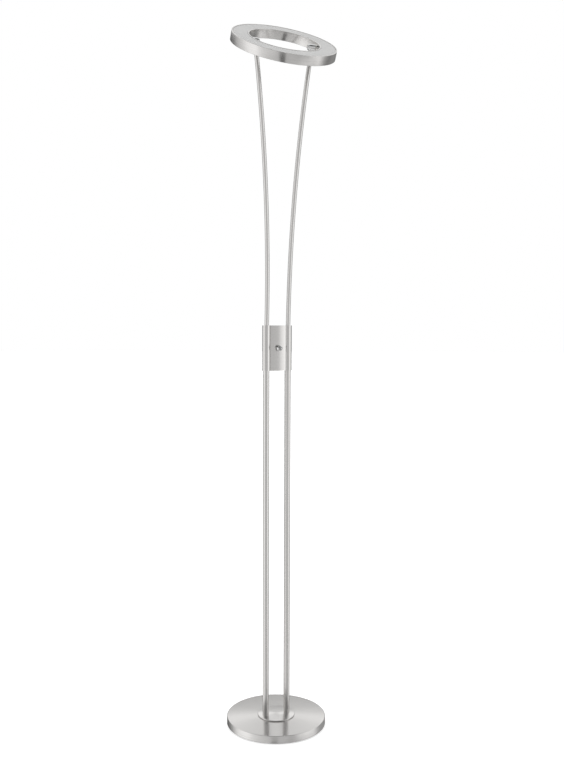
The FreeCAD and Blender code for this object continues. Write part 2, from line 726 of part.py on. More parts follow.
def knuckle(side_name, side):
    """Barrel brazed on a rod's end, bored across for the pivot screw."""
    inner_end = size("rod_end_half") - size("knuckle_inside")
    outer_end = size("ring_inner") - size("boss_length") - size("pivot_gap") - size("friction_washer")
    centre = Vector(side * inner_end, -size("pivot_forward"), size("pivot_height"))
    out = Vector(side, 0, 0)
    barrel = Part.makeCylinder(size("knuckle_radius"), outer_end - inner_end, centre, out)
    barrel = barrel.makeChamfer(size("knuckle_edge"), [edge for edge in barrel.Edges if edge.Closed and edge.Length
                                                       > size("knuckle_radius") * 6])
    bore = Part.makeCylinder(size("pin_radius") + size("pin_play"), outer_end - inner_end, centre, out)
    wire, foot = rod_path(side)
    solid_feature(barrel.cut(bore).cut(swept(wire, foot, size("rod_radius"))), side_name + "_knuckle")


def pivots():
    """Shoulder screws, friction washers and the bosses riveted into the ring's inner wall."""
    screws, washers, bosses = [], [], []
    for name, side in (("left", -1), ("right", 1)):
        out = {"axis": Y_AXIS, "angle": f"90 * {side}"}
        fixed = {"y": "-pivot_forward", "z": "pivot_height", **out}
        head_face = "rod_end_half - knuckle_inside - pivot_gap"
        boss_face = "ring_inner - boss_length"
        shank_end = "ring_inner + boss_inside"
        shank = cylinder(name + "_pivot_shank", "pin_radius", f"{shank_end} - ({head_face})",
                         x=f"({head_face}) * {side}", **out)
        head = cylinder(name + "_pivot_head", "pin_head_radius", "pin_head_thick",
                        x=f"({head_face} - pin_head_thick) * {side}", **out)
        key = hexagon(name + "_pivot_hex", "pin_radius * 0.8", "pin_head_thick * 0.7",
                      x=f"({head_face} - pin_head_thick) * {side}", **out)
        screws.append(cut(name + "_pivot_screw", fuse(name + "_pivot_blank", [shank, head]), key))
        disc = cylinder(name + "_friction_disc", "knuckle_radius", "friction_washer",
                        x=f"({boss_face} - pivot_gap - friction_washer) * {side}", **fixed)
        hole = cylinder(name + "_friction_bore", "pin_radius + pin_play", "friction_washer",
                        x=f"({boss_face} - pivot_gap - friction_washer) * {side}", **fixed)
        washers.append(cut(name + "_friction_washer", disc, hole))
        flange = cylinder(name + "_boss_flange", "knuckle_radius", "boss_length * 2",
                          x=f"({boss_face}) * {side}", **out)
        inside_ring = cylinder(name + "_boss_limit", "ring_inner", "ring_height", z="-ring_height / 2")
        seat = doc.addObject("Part::Common", name + "_boss_seat")
        seat.Base = flange
        seat.Tool = inside_ring
        neck = cylinder(name + "_boss_neck", "boss_neck", "boss_length + ring_wall + boss_inside",
                        x=f"({boss_face}) * {side}", **out)
        blank = fuse(name + "_boss_blank", [seat, neck])
        thread = cylinder(name + "_boss_thread", "pin_radius", "boss_length + ring_wall + boss_inside",
                          x=f"({boss_face}) * {side}", **out)
        bosses.append(cut(name + "_boss", blank, thread))
    node(in_head(group("pivot_screws", screws)), "pivot_screws")
    node(group("friction_washers", washers), "friction_washers")
    node(in_head(group("pivot_bosses", bosses)), "pivot_bosses")


# ---- light head ----

def ring_housing():
    """Channel-shaped ring, open towards the diffuser, with a ledge on each wall."""
    body = new_body("ring_housing")
    profile = new_sketch(body, "ring_profile", "XZ_Plane")
    top = "ring_height / 2"
    bottom = "-ring_height / 2"
    ledge = "ring_height / 2 - diffuser_recess - diffuser_thick"
    draw_polygon(profile, [
        ("ring_inner", bottom),
        ("ring_outer", bottom),
        ("ring_outer", top),
        ("ring_outer - rim_width", top),
        ("ring_outer - rim_width", ledge),
        ("ring_outer - rim_width - ledge_width", ledge),
        ("ring_outer - rim_width - ledge_width", f"{ledge} - ledge_height / 2"),
        ("ring_outer - ring_wall", f"{ledge} - ledge_height"),
        ("ring_outer - ring_wall", f"{bottom} + ring_wall"),
        ("ring_inner + ring_wall", f"{bottom} + ring_wall"),
        ("ring_inner + ring_wall", f"{ledge} - ledge_height"),
        ("ring_inner + rim_width + ledge_width", f"{ledge} - ledge_height / 2"),
        ("ring_inner + rim_width + ledge_width", ledge),
        ("ring_inner + rim_width", ledge),
        ("ring_inner + rim_width", top),
        ("ring_inner", top),
    ])
    revolve(body, profile)
    for side_name, backwards in (("left", False), ("right", True)):
        hole = new_sketch(body, side_name + "_boss_hole", "YZ_Plane")
        draw_circle(hole, "boss_neck")
        extrude(body, hole, "ring_inner + ring_wall * 2", "Pocket", backwards=backwards)
    in_head(body)


def diffuser():
    """Satin acrylic ring that lies on the ledges just below the rims."""
    body = new_body("diffuser")
    sketch = new_sketch(body, "diffuser_ring", "XY_Plane")
    draw_circle(sketch, "ring_outer - rim_width - diffuser_play")
    draw_circle(sketch, "ring_inner + rim_width + diffuser_play")
    extrude(body, sketch, "diffuser_thick", start="ring_height / 2 - diffuser_recess - diffuser_thick")
    in_head(body)


def flat_ring(name, inner, outer, thick, low):
    disc = cylinder(name + "_disc", outer, thick, z=low)
    hole = cylinder(name + "_hole", inner, thick, z=low)
    return cut(name, disc, hole)


def light_source():
    """Tray on posts, the LED board on it with its chips, and the screws."""
    floor = "-ring_height / 2 + ring_wall"
    tray_low = f"{floor} + post_height"
    tray_inner = "ring_inner + ring_wall + boss_inside + tray_play"
    post_circle = "(ring_outer - ring_wall - post_edge)"
    tray = flat_ring("tray_ring", tray_inner, "ring_outer - ring_wall - ledge_width - tray_play",
                     "tray_thick", tray_low)
    holes, posts, screws = [], [], []
    for i, (x, y) in enumerate(ring_of("post", post_circle, phase=0.0)):
        posts.append(cylinder(f"tray_post_{i}", "post_radius", "post_height", x=x, y=y, z=floor))
        holes.append(cylinder(f"tray_hole_{i}", "post_radius / 3", "tray_thick", x=x, y=y, z=tray_low))
        shank = cylinder(f"tray_screw_shank_{i}", "post_radius / 3", "tray_thick", x=x, y=y, z=tray_low)
        head = cylinder(f"tray_screw_head_{i}", "post_radius * 0.7", "tray_thick",
                        x=x, y=y, z=f"{tray_low} + tray_thick")
        screws.append(fuse(f"tray_screw_{i}", [shank, head]))
    node(in_head(cut("led_tray", tray, fuse("tray_holes", holes))), "led_tray")
    node(in_head(group("tray_posts", posts)), "tray_posts")
    node(in_head(group("tray_screws", screws)), "tray_screws")
    board_low = f"{tray_low} + tray_thick"
    board_inner = f"({tray_inner} + board_margin)"
    board_outer = f"({post_circle} - post_radius - board_play)"
    board = flat_ring("led_board", board_inner, board_outer, "led_board_thick", board_low)
    node(in_head(board), "led_board")
    node(in_head(group("led_chips", led_chips(f"({board_inner} + {board_outer}) / 2",
                                              f"{board_low} + led_board_thick"))), "led_chips")


def led_chips(reach, low):
    """LED packages in a ring, each with its long side across the radius."""
    chips = []
    count = int(size("led_count"))
    for i in range(count):
        turn = 360.0 * i / count
        cosine = f"{math.cos(math.radians(turn)):.9f}"
        sine = f"{math.sin(math.radians(turn)):.9f}"
        inward = f"({reach} - led_width / 2)"
        chips.append(block(f"led_{i}", "led_width", "led_length", "led_height",
                           x=f"{inward} * {cosine} + led_length / 2 * {sine}",
                           y=f"{inward} * {sine} - led_length / 2 * {cosine}", z=low, angle=str(turn)))
    return chips


def driver():
    """Curved driver board on the ring's floor, at its back, with its components."""
    floor = "-ring_height / 2 + ring_wall"
    board_low = f"{floor} + driver_lift"
    sector = doc.addObject("Part::Cylinder", "driver_sector")
    bind(sector, Radius="ring_outer - ring_wall - driver_play", Height="driver_thick", Angle="driver_sweep")
    place(sector, z=board_low, angle="90 - driver_sweep / 2")
    hole = cylinder("driver_hole", "ring_inner + ring_wall + driver_play", "driver_thick", z=board_low)
    node(in_head(cut("driver_board", sector, hole)), "driver_board")
    parts = []
    components = (("coil", -17.0, 13.0, 12.0), ("filter_can", -7.5, 8.0, 8.0), ("bridge", 1.0, 6.0, 10.0),
                  ("smoothing_can", 9.0, 9.0, 9.0), ("socket", 18.0, 7.0, 10.0))
    for name, turn, depth, width in components:
        cosine = f"{math.cos(math.radians(90.0 + turn)):.9f}"
        sine = f"{math.sin(math.radians(90.0 + turn)):.9f}"
        inward = f"((ring_inner + ring_outer - {depth}) / 2)"
        parts.append(block("driver_" + name, str(depth), str(width), "part_height",
                           x=f"{inward} * {cosine} + {width / 2} * {sine}",
                           y=f"{inward} * {sine} - {width / 2} * {cosine}",
                           z=f"{board_low} + driver_thick", angle=str(90.0 + turn)))
    node(in_head(group("driver_parts", parts)), "driver_parts")


def build():
    base_shell()
    base_weight()
    bottom_plate()
    plate_screws()
    foot_pads()
    collar()
    cord_gland()
    terminal_block()
    tube("left", -1)
    tube("right", 1)
    tube_feet()
    sleeve_body()
    grub_screws()
    sleeve_cover()
    dimmer()
    dimmer_knob()
    for side_name, side in (("left", -1), ("right", 1)):
        rod(side_name, side)
        knuckle(side_name, side)
    pivots()
    ring_housing()
    diffuser()
    light_source()
    driver()
    doc.recompute()


def check():
    """Stop before writing anything if an object failed or a shape is unsound."""
    for item in doc.Objects:
        if "Invalid" in item.State or "Error" in item.State:
            raise RuntimeError(f"{item.Label} failed: {item.State}")
    for item in nodes:
        if item.Shape.isNull() or not item.Shape.isValid():
            raise RuntimeError(f"{item.Label} has no sound shape")


def export():
    os.makedirs("parts", exist_ok=True)
    for item in nodes:
        item.Shape.exportStep(f"parts/{item.Label}.step")
        solids = item.Shape.Solids
        print(f"{item.Label}: {len(solids)} solid(s), {item.Shape.Volume / 1000:.2f} cm3")


build()
check()
export()
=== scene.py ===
# %% [markdown]
# # A torchiere floor lamp in satin nickel
#
# The lamp stands on a weighted round base. Two straight tubes rise to a sleeve that
# holds a rotary dimmer, and two thinner rods flare out of the sleeve to carry a ring-shaped
# head between them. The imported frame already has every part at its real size, so this
# lesson only gives each one a better mesh and a finish, and then a plain studio to stand in.

# %% Load the frame
import json
import math

import bmesh
import bpy
from mathutils import Euler, Matrix, Vector


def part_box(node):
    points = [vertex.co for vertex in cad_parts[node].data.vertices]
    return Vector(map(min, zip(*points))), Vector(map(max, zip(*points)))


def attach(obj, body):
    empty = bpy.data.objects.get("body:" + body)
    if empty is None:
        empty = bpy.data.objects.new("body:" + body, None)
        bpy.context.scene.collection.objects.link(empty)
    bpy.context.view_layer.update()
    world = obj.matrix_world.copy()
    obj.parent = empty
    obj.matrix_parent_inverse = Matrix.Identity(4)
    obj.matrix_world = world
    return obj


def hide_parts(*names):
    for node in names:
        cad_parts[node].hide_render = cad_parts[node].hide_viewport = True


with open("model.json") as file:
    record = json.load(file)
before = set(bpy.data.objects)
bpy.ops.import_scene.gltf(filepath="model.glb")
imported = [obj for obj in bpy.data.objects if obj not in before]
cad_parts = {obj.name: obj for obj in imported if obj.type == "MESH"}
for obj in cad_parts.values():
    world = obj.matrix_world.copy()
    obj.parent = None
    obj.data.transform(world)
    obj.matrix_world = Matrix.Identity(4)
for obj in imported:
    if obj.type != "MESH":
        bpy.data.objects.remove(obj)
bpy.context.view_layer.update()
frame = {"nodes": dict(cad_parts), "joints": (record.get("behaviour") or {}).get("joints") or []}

NODES = frame["nodes"]
MM = 0.001

# %% [markdown]
# ## Sizes
#
# A modeller first reads the main sizes off the frame, so that nothing has to be fitted by
# eye later. `middle` and `extent` give a part's centre and its size along each axis.

# %% Read the sizes off the frame


def middle(node):
    low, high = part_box(node)
    return (low + high) / 2


def extent(node):
    low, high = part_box(node)
    return high - low


PIVOT = Vector(frame["joints"][0]["pos_m"])
HEAD_TILT = math.radians(31)
HALF_SPACING = middle("right_tube").x
TUBE_RADIUS = extent("right_tube").x / 2
BASE_RADIUS = extent("base_shell").x / 2
BASE_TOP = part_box("base_shell")[1].z
SLEEVE_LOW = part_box("sleeve_body")[0].z
SLEEVE_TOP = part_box("sleeve_body")[1].z
RING_OUTER = extent("ring_housing").x / 2
print("pivot", PIVOT, "tube radius", TUBE_RADIUS, "base radius", BASE_RADIUS)

# %% [markdown]
# ## Shader maths as Python
#
# A material is a graph of small sums. Written node by node it is long and hard to read, so
# one class wraps a socket and lets `+`, `-` and `*` add the Math nodes. Every other node
# comes from the single method `Shader.node`.

# %% Wrap a socket


class Value:
    """One output socket that can be used in Python sums."""

    def __init__(self, shader, socket):
        self.shader = shader
        self.socket = socket

    def math(self, operation, *others):
        inputs = {0: self}
        inputs.update({i + 1: other for i, other in enumerate(others)})
        return self.shader.node("ShaderNodeMath", {"operation": operation}, inputs)

    def __add__(self, other):
        return self.math("ADD", other)

    __radd__ = __add__

    def __mul__(self, other):
        return self.math("MULTIPLY", other)

    __rmul__ = __mul__

    def __sub__(self, other):
        return self.math("SUBTRACT", other)

    def __rsub__(self, other):
        return self.math("MULTIPLY", -1.0).math("ADD", other)


print("a socket now takes + - and *")

# %% [markdown]
# ## A material as one object
#
# Most finishes need the same few things: a point on the piece, a noise there, a colour and
# a bump from that noise. These become the methods of a class that owns one material.
# Whatever is the same all over the piece is set on the shader's own socket, and only what
# varies is linked, which keeps the graph small and lets the finish be baked.

# %% Wrap a material


class Shader:
    """A new material with one Principled shader, and a method that adds nodes."""

    made = []

    def __init__(self, name, metallic=0.0, roughness=0.5, colour=(0.8, 0.8, 0.8), **constants):
        self.material = bpy.data.materials.new(name)
        self.material.use_nodes = True
        self.tree = self.material.node_tree
        self.surface = self.tree.nodes["Principled BSDF"]
        self.surface.inputs["Metallic"].default_value = metallic
        self.surface.inputs["Roughness"].default_value = roughness
        self.surface.inputs["Base Color"].default_value = (*colour, 1.0)
        self.material.diffuse_color = (*colour, 1.0)
        Shader.made.append(name)
        for label, number in constants.items():
            self.surface.inputs[label.replace("_", " ")].default_value = number

    def node(self, kind, settings=None, inputs=None, output=0):
        """Add a node: its settings first, then values or links for its sockets."""
        item = self.tree.nodes.new(kind)
        for label, setting in (settings or {}).items():
            if label == "stops":
                self.set_stops(item.color_ramp, setting)
            else:
                setattr(item, label, setting)
        for label, value in (inputs or {}).items():
            if isinstance(value, Value):
                self.tree.links.new(value.socket, item.inputs[label])
            else:
                item.inputs[label].default_value = value
        return Value(self, item.outputs[output])

    @staticmethod
    def set_stops(ramp, stops):
        while len(ramp.elements) < len(stops):
            ramp.elements.new(0.5)
        for element, (position, colour) in zip(ramp.elements, stops):
            element.position = position
            element.color = (*colour, 1.0) if len(colour) == 3 else colour

    def feed(self, label, value):
        self.tree.links.new(value.socket, self.surface.inputs[label])

    def place(self, centre=(0, 0, 0), tilt=0.0, stretch=(1, 1, 1)):
        """Object coordinates about a centre, turned back by the head's tilt, then stretched."""
        point = self.node("ShaderNodeTexCoord", output="Object")
        local = self.vector("SUBTRACT", point, tuple(centre))
        if tilt:
            local = self.node("ShaderNodeVectorRotate", {"rotation_type": "X_AXIS"},
                              {"Vector": local, "Angle": -tilt})
        if tuple(stretch) != (1, 1, 1):
            local = self.vector("MULTIPLY", local, tuple(stretch))
        return local

    def vector(self, operation, first, second):
        return self.node("ShaderNodeVectorMath", {"operation": operation}, {0: first, 1: second})

    def split(self, vector):
        """A vector's three numbers."""
        outputs = self.node("ShaderNodeSeparateXYZ", None, {"Vector": vector}).socket.node.outputs
        return [Value(self, output) for output in outputs]

    def noise(self, vector, scale, detail=2.0, roughness=0.5):
        return self.node("ShaderNodeTexNoise", {"noise_dimensions": "3D"},
                         {"Vector": vector, "Scale": scale, "Detail": detail, "Roughness": roughness})

    def tint(self, mask, stops):
        """Colour that follows a mask through a ramp."""
        self.feed("Base Color", self.node("ShaderNodeValToRGB", {"stops": stops}, {"Fac": mask}))

    def bump(self, height, strength, distance):
        self.feed("Normal", self.node("ShaderNodeBump", None,
                                      {"Height": height, "Strength": strength, "Distance": distance}))


def grey(level, warmth=0.012):
    """A faintly warm grey, as nickel is."""
    return (level + warmth, level, level - warmth)


print("a colour for nickel:", grey(0.66))

# %% [markdown]
# ## Satin nickel
#
# Satin nickel is polished metal with one family of fine scratches. Turned pieces and
# tubes are ground while they spin, so the scratches run round them; on the casting they
# run across. That direction is what the eye reads as "brushed". The scratches are a noise
# stretched hard along their direction, and the same noise moves colour, roughness and bump
# a little. The shader's own anisotropy then pulls the highlights out across the scratches.

# %% Make the satin nickel finishes
FINE_LINES = 2100.0
BROAD_LINES = 480.0
ROUND_STRETCH = 0.0009


def scratches(shader, kind, centre, tilt):
    """Fine and broad lines: round the local Z axis, across a casting, or round a swept tube."""
    if kind == "swept":
        run = shader.node("ShaderNodeAttribute", {"attribute_name": "run"}, output="Fac")
        section = shader.node("ShaderNodeAttribute", {"attribute_name": "section"}, output="Vector")
        slow = shader.vector("MULTIPLY", section, (0.03, 0.03, 0.0))
        rise = shader.node("ShaderNodeCombineXYZ", None, {"Z": run})
        vector = shader.vector("ADD", slow, rise)
    elif kind == "across":
        vector = shader.place(centre, tilt, (0.02, 0.02, 1))
    else:
        local = shader.place(centre, tilt)
        x, y, height = shader.split(local)
        radius = (x * x + y * y).math("SQRT")
        turn = y.math("ARCTAN2", x).math("ABSOLUTE")
        vector = shader.node("ShaderNodeCombineXYZ", None,
                             {"X": radius, "Y": turn * ROUND_STRETCH, "Z": height})
    return shader.noise(vector, FINE_LINES, 3.0, 0.65), shader.noise(vector, BROAD_LINES, 2.0, 0.6)


def nickel(name, kind, level=0.66, roughness=0.22, anisotropy=0.9, centre=(0, 0, 0), tilt=0.0,
           contrast=0.05, relief=0.10):
    """Brushed nickel: rougher across its scratches than along them."""
    shader = Shader(name, metallic=1.0, roughness=roughness, colour=grey(level),
                    Anisotropic=anisotropy, Anisotropic_Rotation=0.25)
    fine, broad = scratches(shader, kind, centre, tilt)
    clouds = shader.noise(shader.place(centre, tilt), 14.0, 3.0)
    mask = fine * 0.4 + broad * 0.4 + clouds * 0.2
    shader.tint(mask, [(0.3, grey(level - contrast)), (0.5, grey(level)),
                       (0.7, grey(level + contrast))])
    shader.feed("Roughness", fine * 0.08 + broad * 0.06 + clouds * 0.04 + (roughness - 0.09))
    shader.bump(fine + broad * 0.5, relief, 0.00003)
    return shader.material


SPUN_BASE = nickel("satin_nickel_spun", "round", 0.68, 0.24, 0.98, contrast=0.04, relief=0.05)
SPUN_COLLAR = nickel("satin_nickel_collar", "round", 0.70, 0.20, 0.95)
DRAWN_TUBE = nickel("satin_nickel_tube", "swept", roughness=0.18, relief=0.06)
CAST_SLEEVE = nickel("satin_nickel_cast", "across", roughness=0.18, contrast=0.04, relief=0.06)
RING_WALL = nickel("satin_nickel_ring", "round", centre=PIVOT, tilt=HEAD_TILT)
print("nickel finishes:", Shader.made)

# %% [markdown]
# ## Chrome, steel, rubber and plastics
#
# The small parts need the same care at their own scale: polished chrome is never quite
# even, zinc plating has a fine crystalline mottle, moulded rubber is slightly grained,
# and cast iron under paint is lumpy. Each is one noise or two, at the size it really has.

# %% Make the other finishes


def polished(name, level=0.78, roughness=0.03):
    shader = Shader(name, metallic=1.0, roughness=roughness, colour=grey(level, 0.0), Coat_Weight=0.2)
    haze = shader.noise(shader.place(), 260.0, 4.0)
    shader.feed("Roughness", haze * 0.05 + (roughness - 0.015))
    shader.tint(haze, [(0.3, grey(level - 0.05, 0.0)), (0.7, grey(level + 0.03, 0.0))])
    shader.bump(shader.noise(shader.place(), 900.0), 0.03, 0.00002)
    return shader.material


def grained(name, dark, light, roughness, scale, relief=0.2, metallic=0.0, depth=0.00008, **constants):
    """Two colours mixed by grain, with roughness and bump from the same grain."""
    shader = Shader(name, metallic=metallic, roughness=roughness, colour=light, **constants)
    coarse = shader.noise(shader.place(), scale * 0.15, 4.0)
    fine = shader.noise(shader.place(), scale, 3.0, 0.7)
    mask = coarse * 0.5 + fine * 0.5
    shader.tint(mask, [(0.3, dark), (0.7, light)])
    shader.feed("Roughness", fine * 0.2 + (roughness - 0.1))
    shader.bump(fine + coarse * 0.5, relief, depth)
    return shader.material


CHROME = polished("polished_chrome")
ZINC = grained("zinc_plate", (0.52, 0.53, 0.56), (0.68, 0.68, 0.66), 0.34, 2200.0, 0.1, metallic=1.0)
BLACK_OXIDE = grained("black_oxide", (0.012, 0.012, 0.013), (0.035, 0.034, 0.033), 0.42, 2600.0, 0.15,
                      metallic=0.6)
CAST_IRON = grained("painted_cast_iron", (0.022, 0.022, 0.024), (0.055, 0.055, 0.058), 0.58, 900.0, 0.5,
                    depth=0.0004)
BLACK_STEEL = grained("black_painted_steel", (0.02, 0.02, 0.021), (0.04, 0.04, 0.042), 0.46, 1300.0, 0.25)
RUBBER = grained("pad_rubber", (0.014, 0.014, 0.014), (0.032, 0.032, 0.031), 0.78, 2400.0, 0.5, depth=0.00015)
GREY_PAINT = grained("grey_paint", (0.30, 0.295, 0.285), (0.37, 0.365, 0.355), 0.42, 1800.0, 0.2)
IVORY = grained("ivory_plastic", (0.60, 0.58, 0.52), (0.70, 0.68, 0.62), 0.45, 1500.0, 0.15)
NYLON = grained("washer_nylon", (0.66, 0.64, 0.58), (0.76, 0.74, 0.69), 0.5, 1500.0, 0.15)
BLACK_PLASTIC = grained("component_plastic", (0.015, 0.015, 0.017), (0.035, 0.035, 0.038), 0.5, 2000.0, 0.3)
ALUMINIUM = grained("mill_aluminium", (0.62, 0.63, 0.64), (0.76, 0.76, 0.77), 0.38, 1600.0, 0.12,
                    metallic=1.0)
BRASS = grained("turned_brass", (0.60, 0.44, 0.18), (0.74, 0.58, 0.28), 0.28, 1800.0, 0.1, metallic=1.0)
WHITE_MASK = grained("white_solder_mask", (0.76, 0.76, 0.74), (0.86, 0.86, 0.84), 0.38, 1200.0, 0.08)
print("finishes so far:", len(Shader.made))

# %% [markdown]
# ## Opal acrylic and circuit board
#
# The diffuser is satin acrylic: white, slightly deep, with a soft sheen. Here it is unlit.
# A circuit board is green mask over copper, and the traces show as a faint raised pattern
# of straight runs, which a brick texture gives without drawing any of them.

# %% Make the diffuser and board finishes


def opal():
    shader = Shader("opal_acrylic", roughness=0.42, colour=(0.495, 0.495, 0.49), IOR=1.49)
    clouds = shader.noise(shader.place(PIVOT, HEAD_TILT), 9.0, 2.0)
    shader.tint(clouds, [(0.3, (0.475, 0.475, 0.47)), (0.7, (0.515, 0.515, 0.51))])
    frost = shader.noise(shader.place(PIVOT, HEAD_TILT), 3200.0, 2.0)
    shader.feed("Roughness", frost * 0.16 + 0.34)
    shader.bump(frost, 0.12, 0.00003)
    return shader.material


def circuit_board():
    shader = Shader("green_solder_mask", roughness=0.35, colour=(0.02, 0.12, 0.06), Coat_Weight=0.3)
    traces = shader.node("ShaderNodeTexBrick", {"offset": 0.37, "squash": 0.8},
                         {"Vector": shader.place(), "Scale": 160.0, "Mortar Size": 0.018},
                         output="Fac")
    shader.tint(traces, [(0.2, (0.018, 0.105, 0.05)), (0.8, (0.05, 0.21, 0.10))])
    shader.feed("Roughness", traces * 0.15 + 0.28)
    shader.bump(traces, 0.4, 0.00006)
    return shader.material


def led_face():
    """Silicone full of yellow phosphor, slightly cloudy."""
    shader = Shader("led_phosphor", roughness=0.4, colour=(0.82, 0.74, 0.36))
    cells = shader.noise(shader.place(PIVOT, HEAD_TILT), 700.0, 2.0)
    shader.tint(cells, [(0.3, (0.84, 0.72, 0.28)), (0.7, (0.86, 0.80, 0.48))])
    shader.bump(cells, 0.2, 0.00005)
    return shader.material


OPAL = opal()
BOARD = circuit_board()
PHOSPHOR = led_face()
print("last finishes:", Shader.made[-3:])

# %% [markdown]
# ## Turned shapes
#
# Most of this lamp is turned or pressed round, so its meshes start as an outline that is
# spun about an axis. An outline holds only the corners a drawing would have, each with its
# own rounding, and `rounded` puts the arcs in. Spinning 192 steps keeps the rim smooth.

# %% Round an outline and spin it
ARC_STEPS = 6


def rounded(corners, steps=ARC_STEPS):
    """Closed outline of (radius, height, rounding) corners as a list of 2-D points."""
    points = []
    count = len(corners)
    for i, (x, z, blend) in enumerate(corners):
        here = Vector((x, z))
        if blend <= 0:
            points.append(here)
            continue
        before = (Vector(corners[i - 1][:2]) - here).normalized()
        after = (Vector(corners[(i + 1) % count][:2]) - here).normalized()
        half_angle = before.angle(after) / 2
        reach = blend / math.tan(half_angle)
        centre = here + (before + after).normalized() * (blend / math.sin(half_angle))
        start = here + before * reach - centre
        sweep = math.pi - 2 * half_angle
        if start.x * after.y - start.y * after.x < 0:
            sweep = -sweep
        for step in range(steps + 1):
            angle = sweep * step / steps
            on_arc = Vector((start.x * math.cos(angle) - start.y * math.sin(angle),
                             start.x * math.sin(angle) + start.y * math.cos(angle)))
            points.append(centre + on_arc)
    return points


ROUND_SQUARE = rounded([(0, 0, 1), (9, 0, 1), (9, 9, 1), (0, 9, 1)])
print("a square with rounded corners has", len(ROUND_SQUARE), "points")

# %% [markdown]
# ## From outline to mesh
#
# Blender has a Spin tool and a Screw modifier, but a plain loop over the angle gives exact
# rings, closes the poles on the axis, and leaves no doubled points. Every mesh then goes
# through one finishing step: doubles merged, normals turned outward, smooth shading with
# sharp edges kept by angle.

# %% Spin an outline


def finish_mesh(name, mesh_data, material, sharp=35):
    """Turn a bmesh into an object with outward faces and smooth shading."""
    bmesh.ops.remove_doubles(mesh_data, verts=mesh_data.verts, dist=1e-7)
    bmesh.ops.recalc_face_normals(mesh_data, faces=mesh_data.faces)
    mesh = bpy.data.meshes.new(name)
    mesh_data.to_mesh(mesh)
    mesh_data.free()
    mesh.shade_smooth()
    mesh.set_sharp_from_angle(angle=math.radians(sharp))
    mesh.materials.append(material)
    item = bpy.data.objects.new(name, mesh)
    bpy.context.scene.collection.objects.link(item)
    return item


def spun_bmesh(outline, segments):
    """Spin a closed outline of (radius, height) points about the Z axis."""
    data = bmesh.new()
    rings = []
    for x, z in outline:
        if x < 1e-7:
            rings.append([data.verts.new((0, 0, z))] * segments)
            continue
        turns = [2 * math.pi * i / segments for i in range(segments)]
        rings.append([data.verts.new((x * math.cos(turn), x * math.sin(turn), z)) for turn in turns])
    for a, b in zip(rings, rings[1:] + rings[:1]):
        for i in range(segments):
            j = (i + 1) % segments
            corners = []
            for vertex in (a[i], a[j], b[j], b[i]):
                if vertex not in corners:
                    corners.append(vertex)
            if len(corners) > 2:
                data.faces.new(corners)
    return data


def turned(name, corners, material, segments=192, place=Matrix.Identity(4)):
    data = spun_bmesh(rounded(corners), segments)
    bmesh.ops.transform(data, matrix=place, verts=data.verts)
    return finish_mesh(name, data, material)


print("outlines are spun in 192 steps unless told otherwise")

# %% [markdown]
# ## Standing in for the frame
#
# A finished piece rides on one moving body of the frame and replaces the frame's own
# plain solids. One helper does both, so that no piece is forgotten, and another joins
# pieces that replace a single node.

# %% Hook a piece to the frame


def stand_for(piece, body, slot, *nodes):
    """Hook a finished piece to the frame."""
    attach(piece, body)
    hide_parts(*nodes)
    print(f"{piece.name}: {len(piece.data.polygons)} faces on {body}")
    return piece


def join(pieces, name):
    """Make one piece of several."""
    with bpy.context.temp_override(active_object=pieces[0], selected_editable_objects=pieces):
        bpy.ops.object.join()
    pieces[0].name = name
    return pieces[0]


# %% [markdown]
# ## Holes and recesses
#
# A hole can be part of an outline only when it shares the outline's axis. The cord's hole,
# the hex recesses and the pointer groove don't, so they are cut with a Boolean from a thin
# rod, and the rod is dropped. The exact solver keeps the cut's edge clean.

# %% Cut one piece out of another


def rod_cutter(name, radius, low, high, sides, place):
    """A plain rod, used only to cut with."""
    outline = [(0, low, 0), (radius, low, 0), (radius, high, 0), (0, high, 0)]
    return turned(name, outline, ZINC, sides, place)


def cut_away(piece, cutter):
    """Cut one mesh out of another, and drop the cutter."""
    faces = len(piece.data.polygons)
    modifier = piece.modifiers.new("cut", "BOOLEAN")
    modifier.object = cutter
    modifier.solver = "EXACT"
    shapes = bpy.context.evaluated_depsgraph_get()
    mesh = bpy.data.meshes.new_from_object(piece.evaluated_get(shapes))
    piece.modifiers.clear()
    piece.data = mesh
    bpy.data.objects.remove(cutter)
    print(f"{piece.name}: {faces} faces before the cut, {len(mesh.polygons)} after")
    return piece


# %% [markdown]
# ## The base
#
# The base cover is a pressed steel shell: a flat top, a tight rounded rim and a straight
# skirt with a rounded lower edge. The collar is a low turned disc, stepped below so that a
# thin shadow parts it from the base. Both could be cylinders with bevels, but an outline
# gives each corner its own rounding. The cord's hole is cut at the back.

# %% Spin the base shell and the collar
SHELL_WALL = 1.5 * MM
SHELL_EDGE = 1.6 * MM
SKIRT_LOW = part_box("base_shell")[0].z
COLLAR_RADIUS = extent("collar").x / 2
COLLAR_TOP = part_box("collar")[1].z
COLLAR_STEP = 1.4 * MM
COLLAR_GAP = 0.9 * MM
GLAND_NECK = 4.6 * MM
shell = turned("base_cover", [
    (0, BASE_TOP - SHELL_WALL, 0),
    (BASE_RADIUS - SHELL_WALL, BASE_TOP - SHELL_WALL, 0.4 * MM),
    (BASE_RADIUS - SHELL_WALL, SKIRT_LOW, SHELL_WALL * 0.45),
    (BASE_RADIUS, SKIRT_LOW, SHELL_WALL * 0.45),
    (BASE_RADIUS, BASE_TOP, SHELL_EDGE),
    (0, BASE_TOP, 0),
], SPUN_BASE, 256)
gland = middle("cord_gland")
drill_place = Matrix.Translation((0, gland.y, gland.z)) @ Matrix.Rotation(math.pi / 2, 4, "X")
cut_away(shell, rod_cutter("drill", GLAND_NECK, -10 * MM, 10 * MM, 48, drill_place))
stand_for(shell, "frame", "satin_nickel", "base_shell")

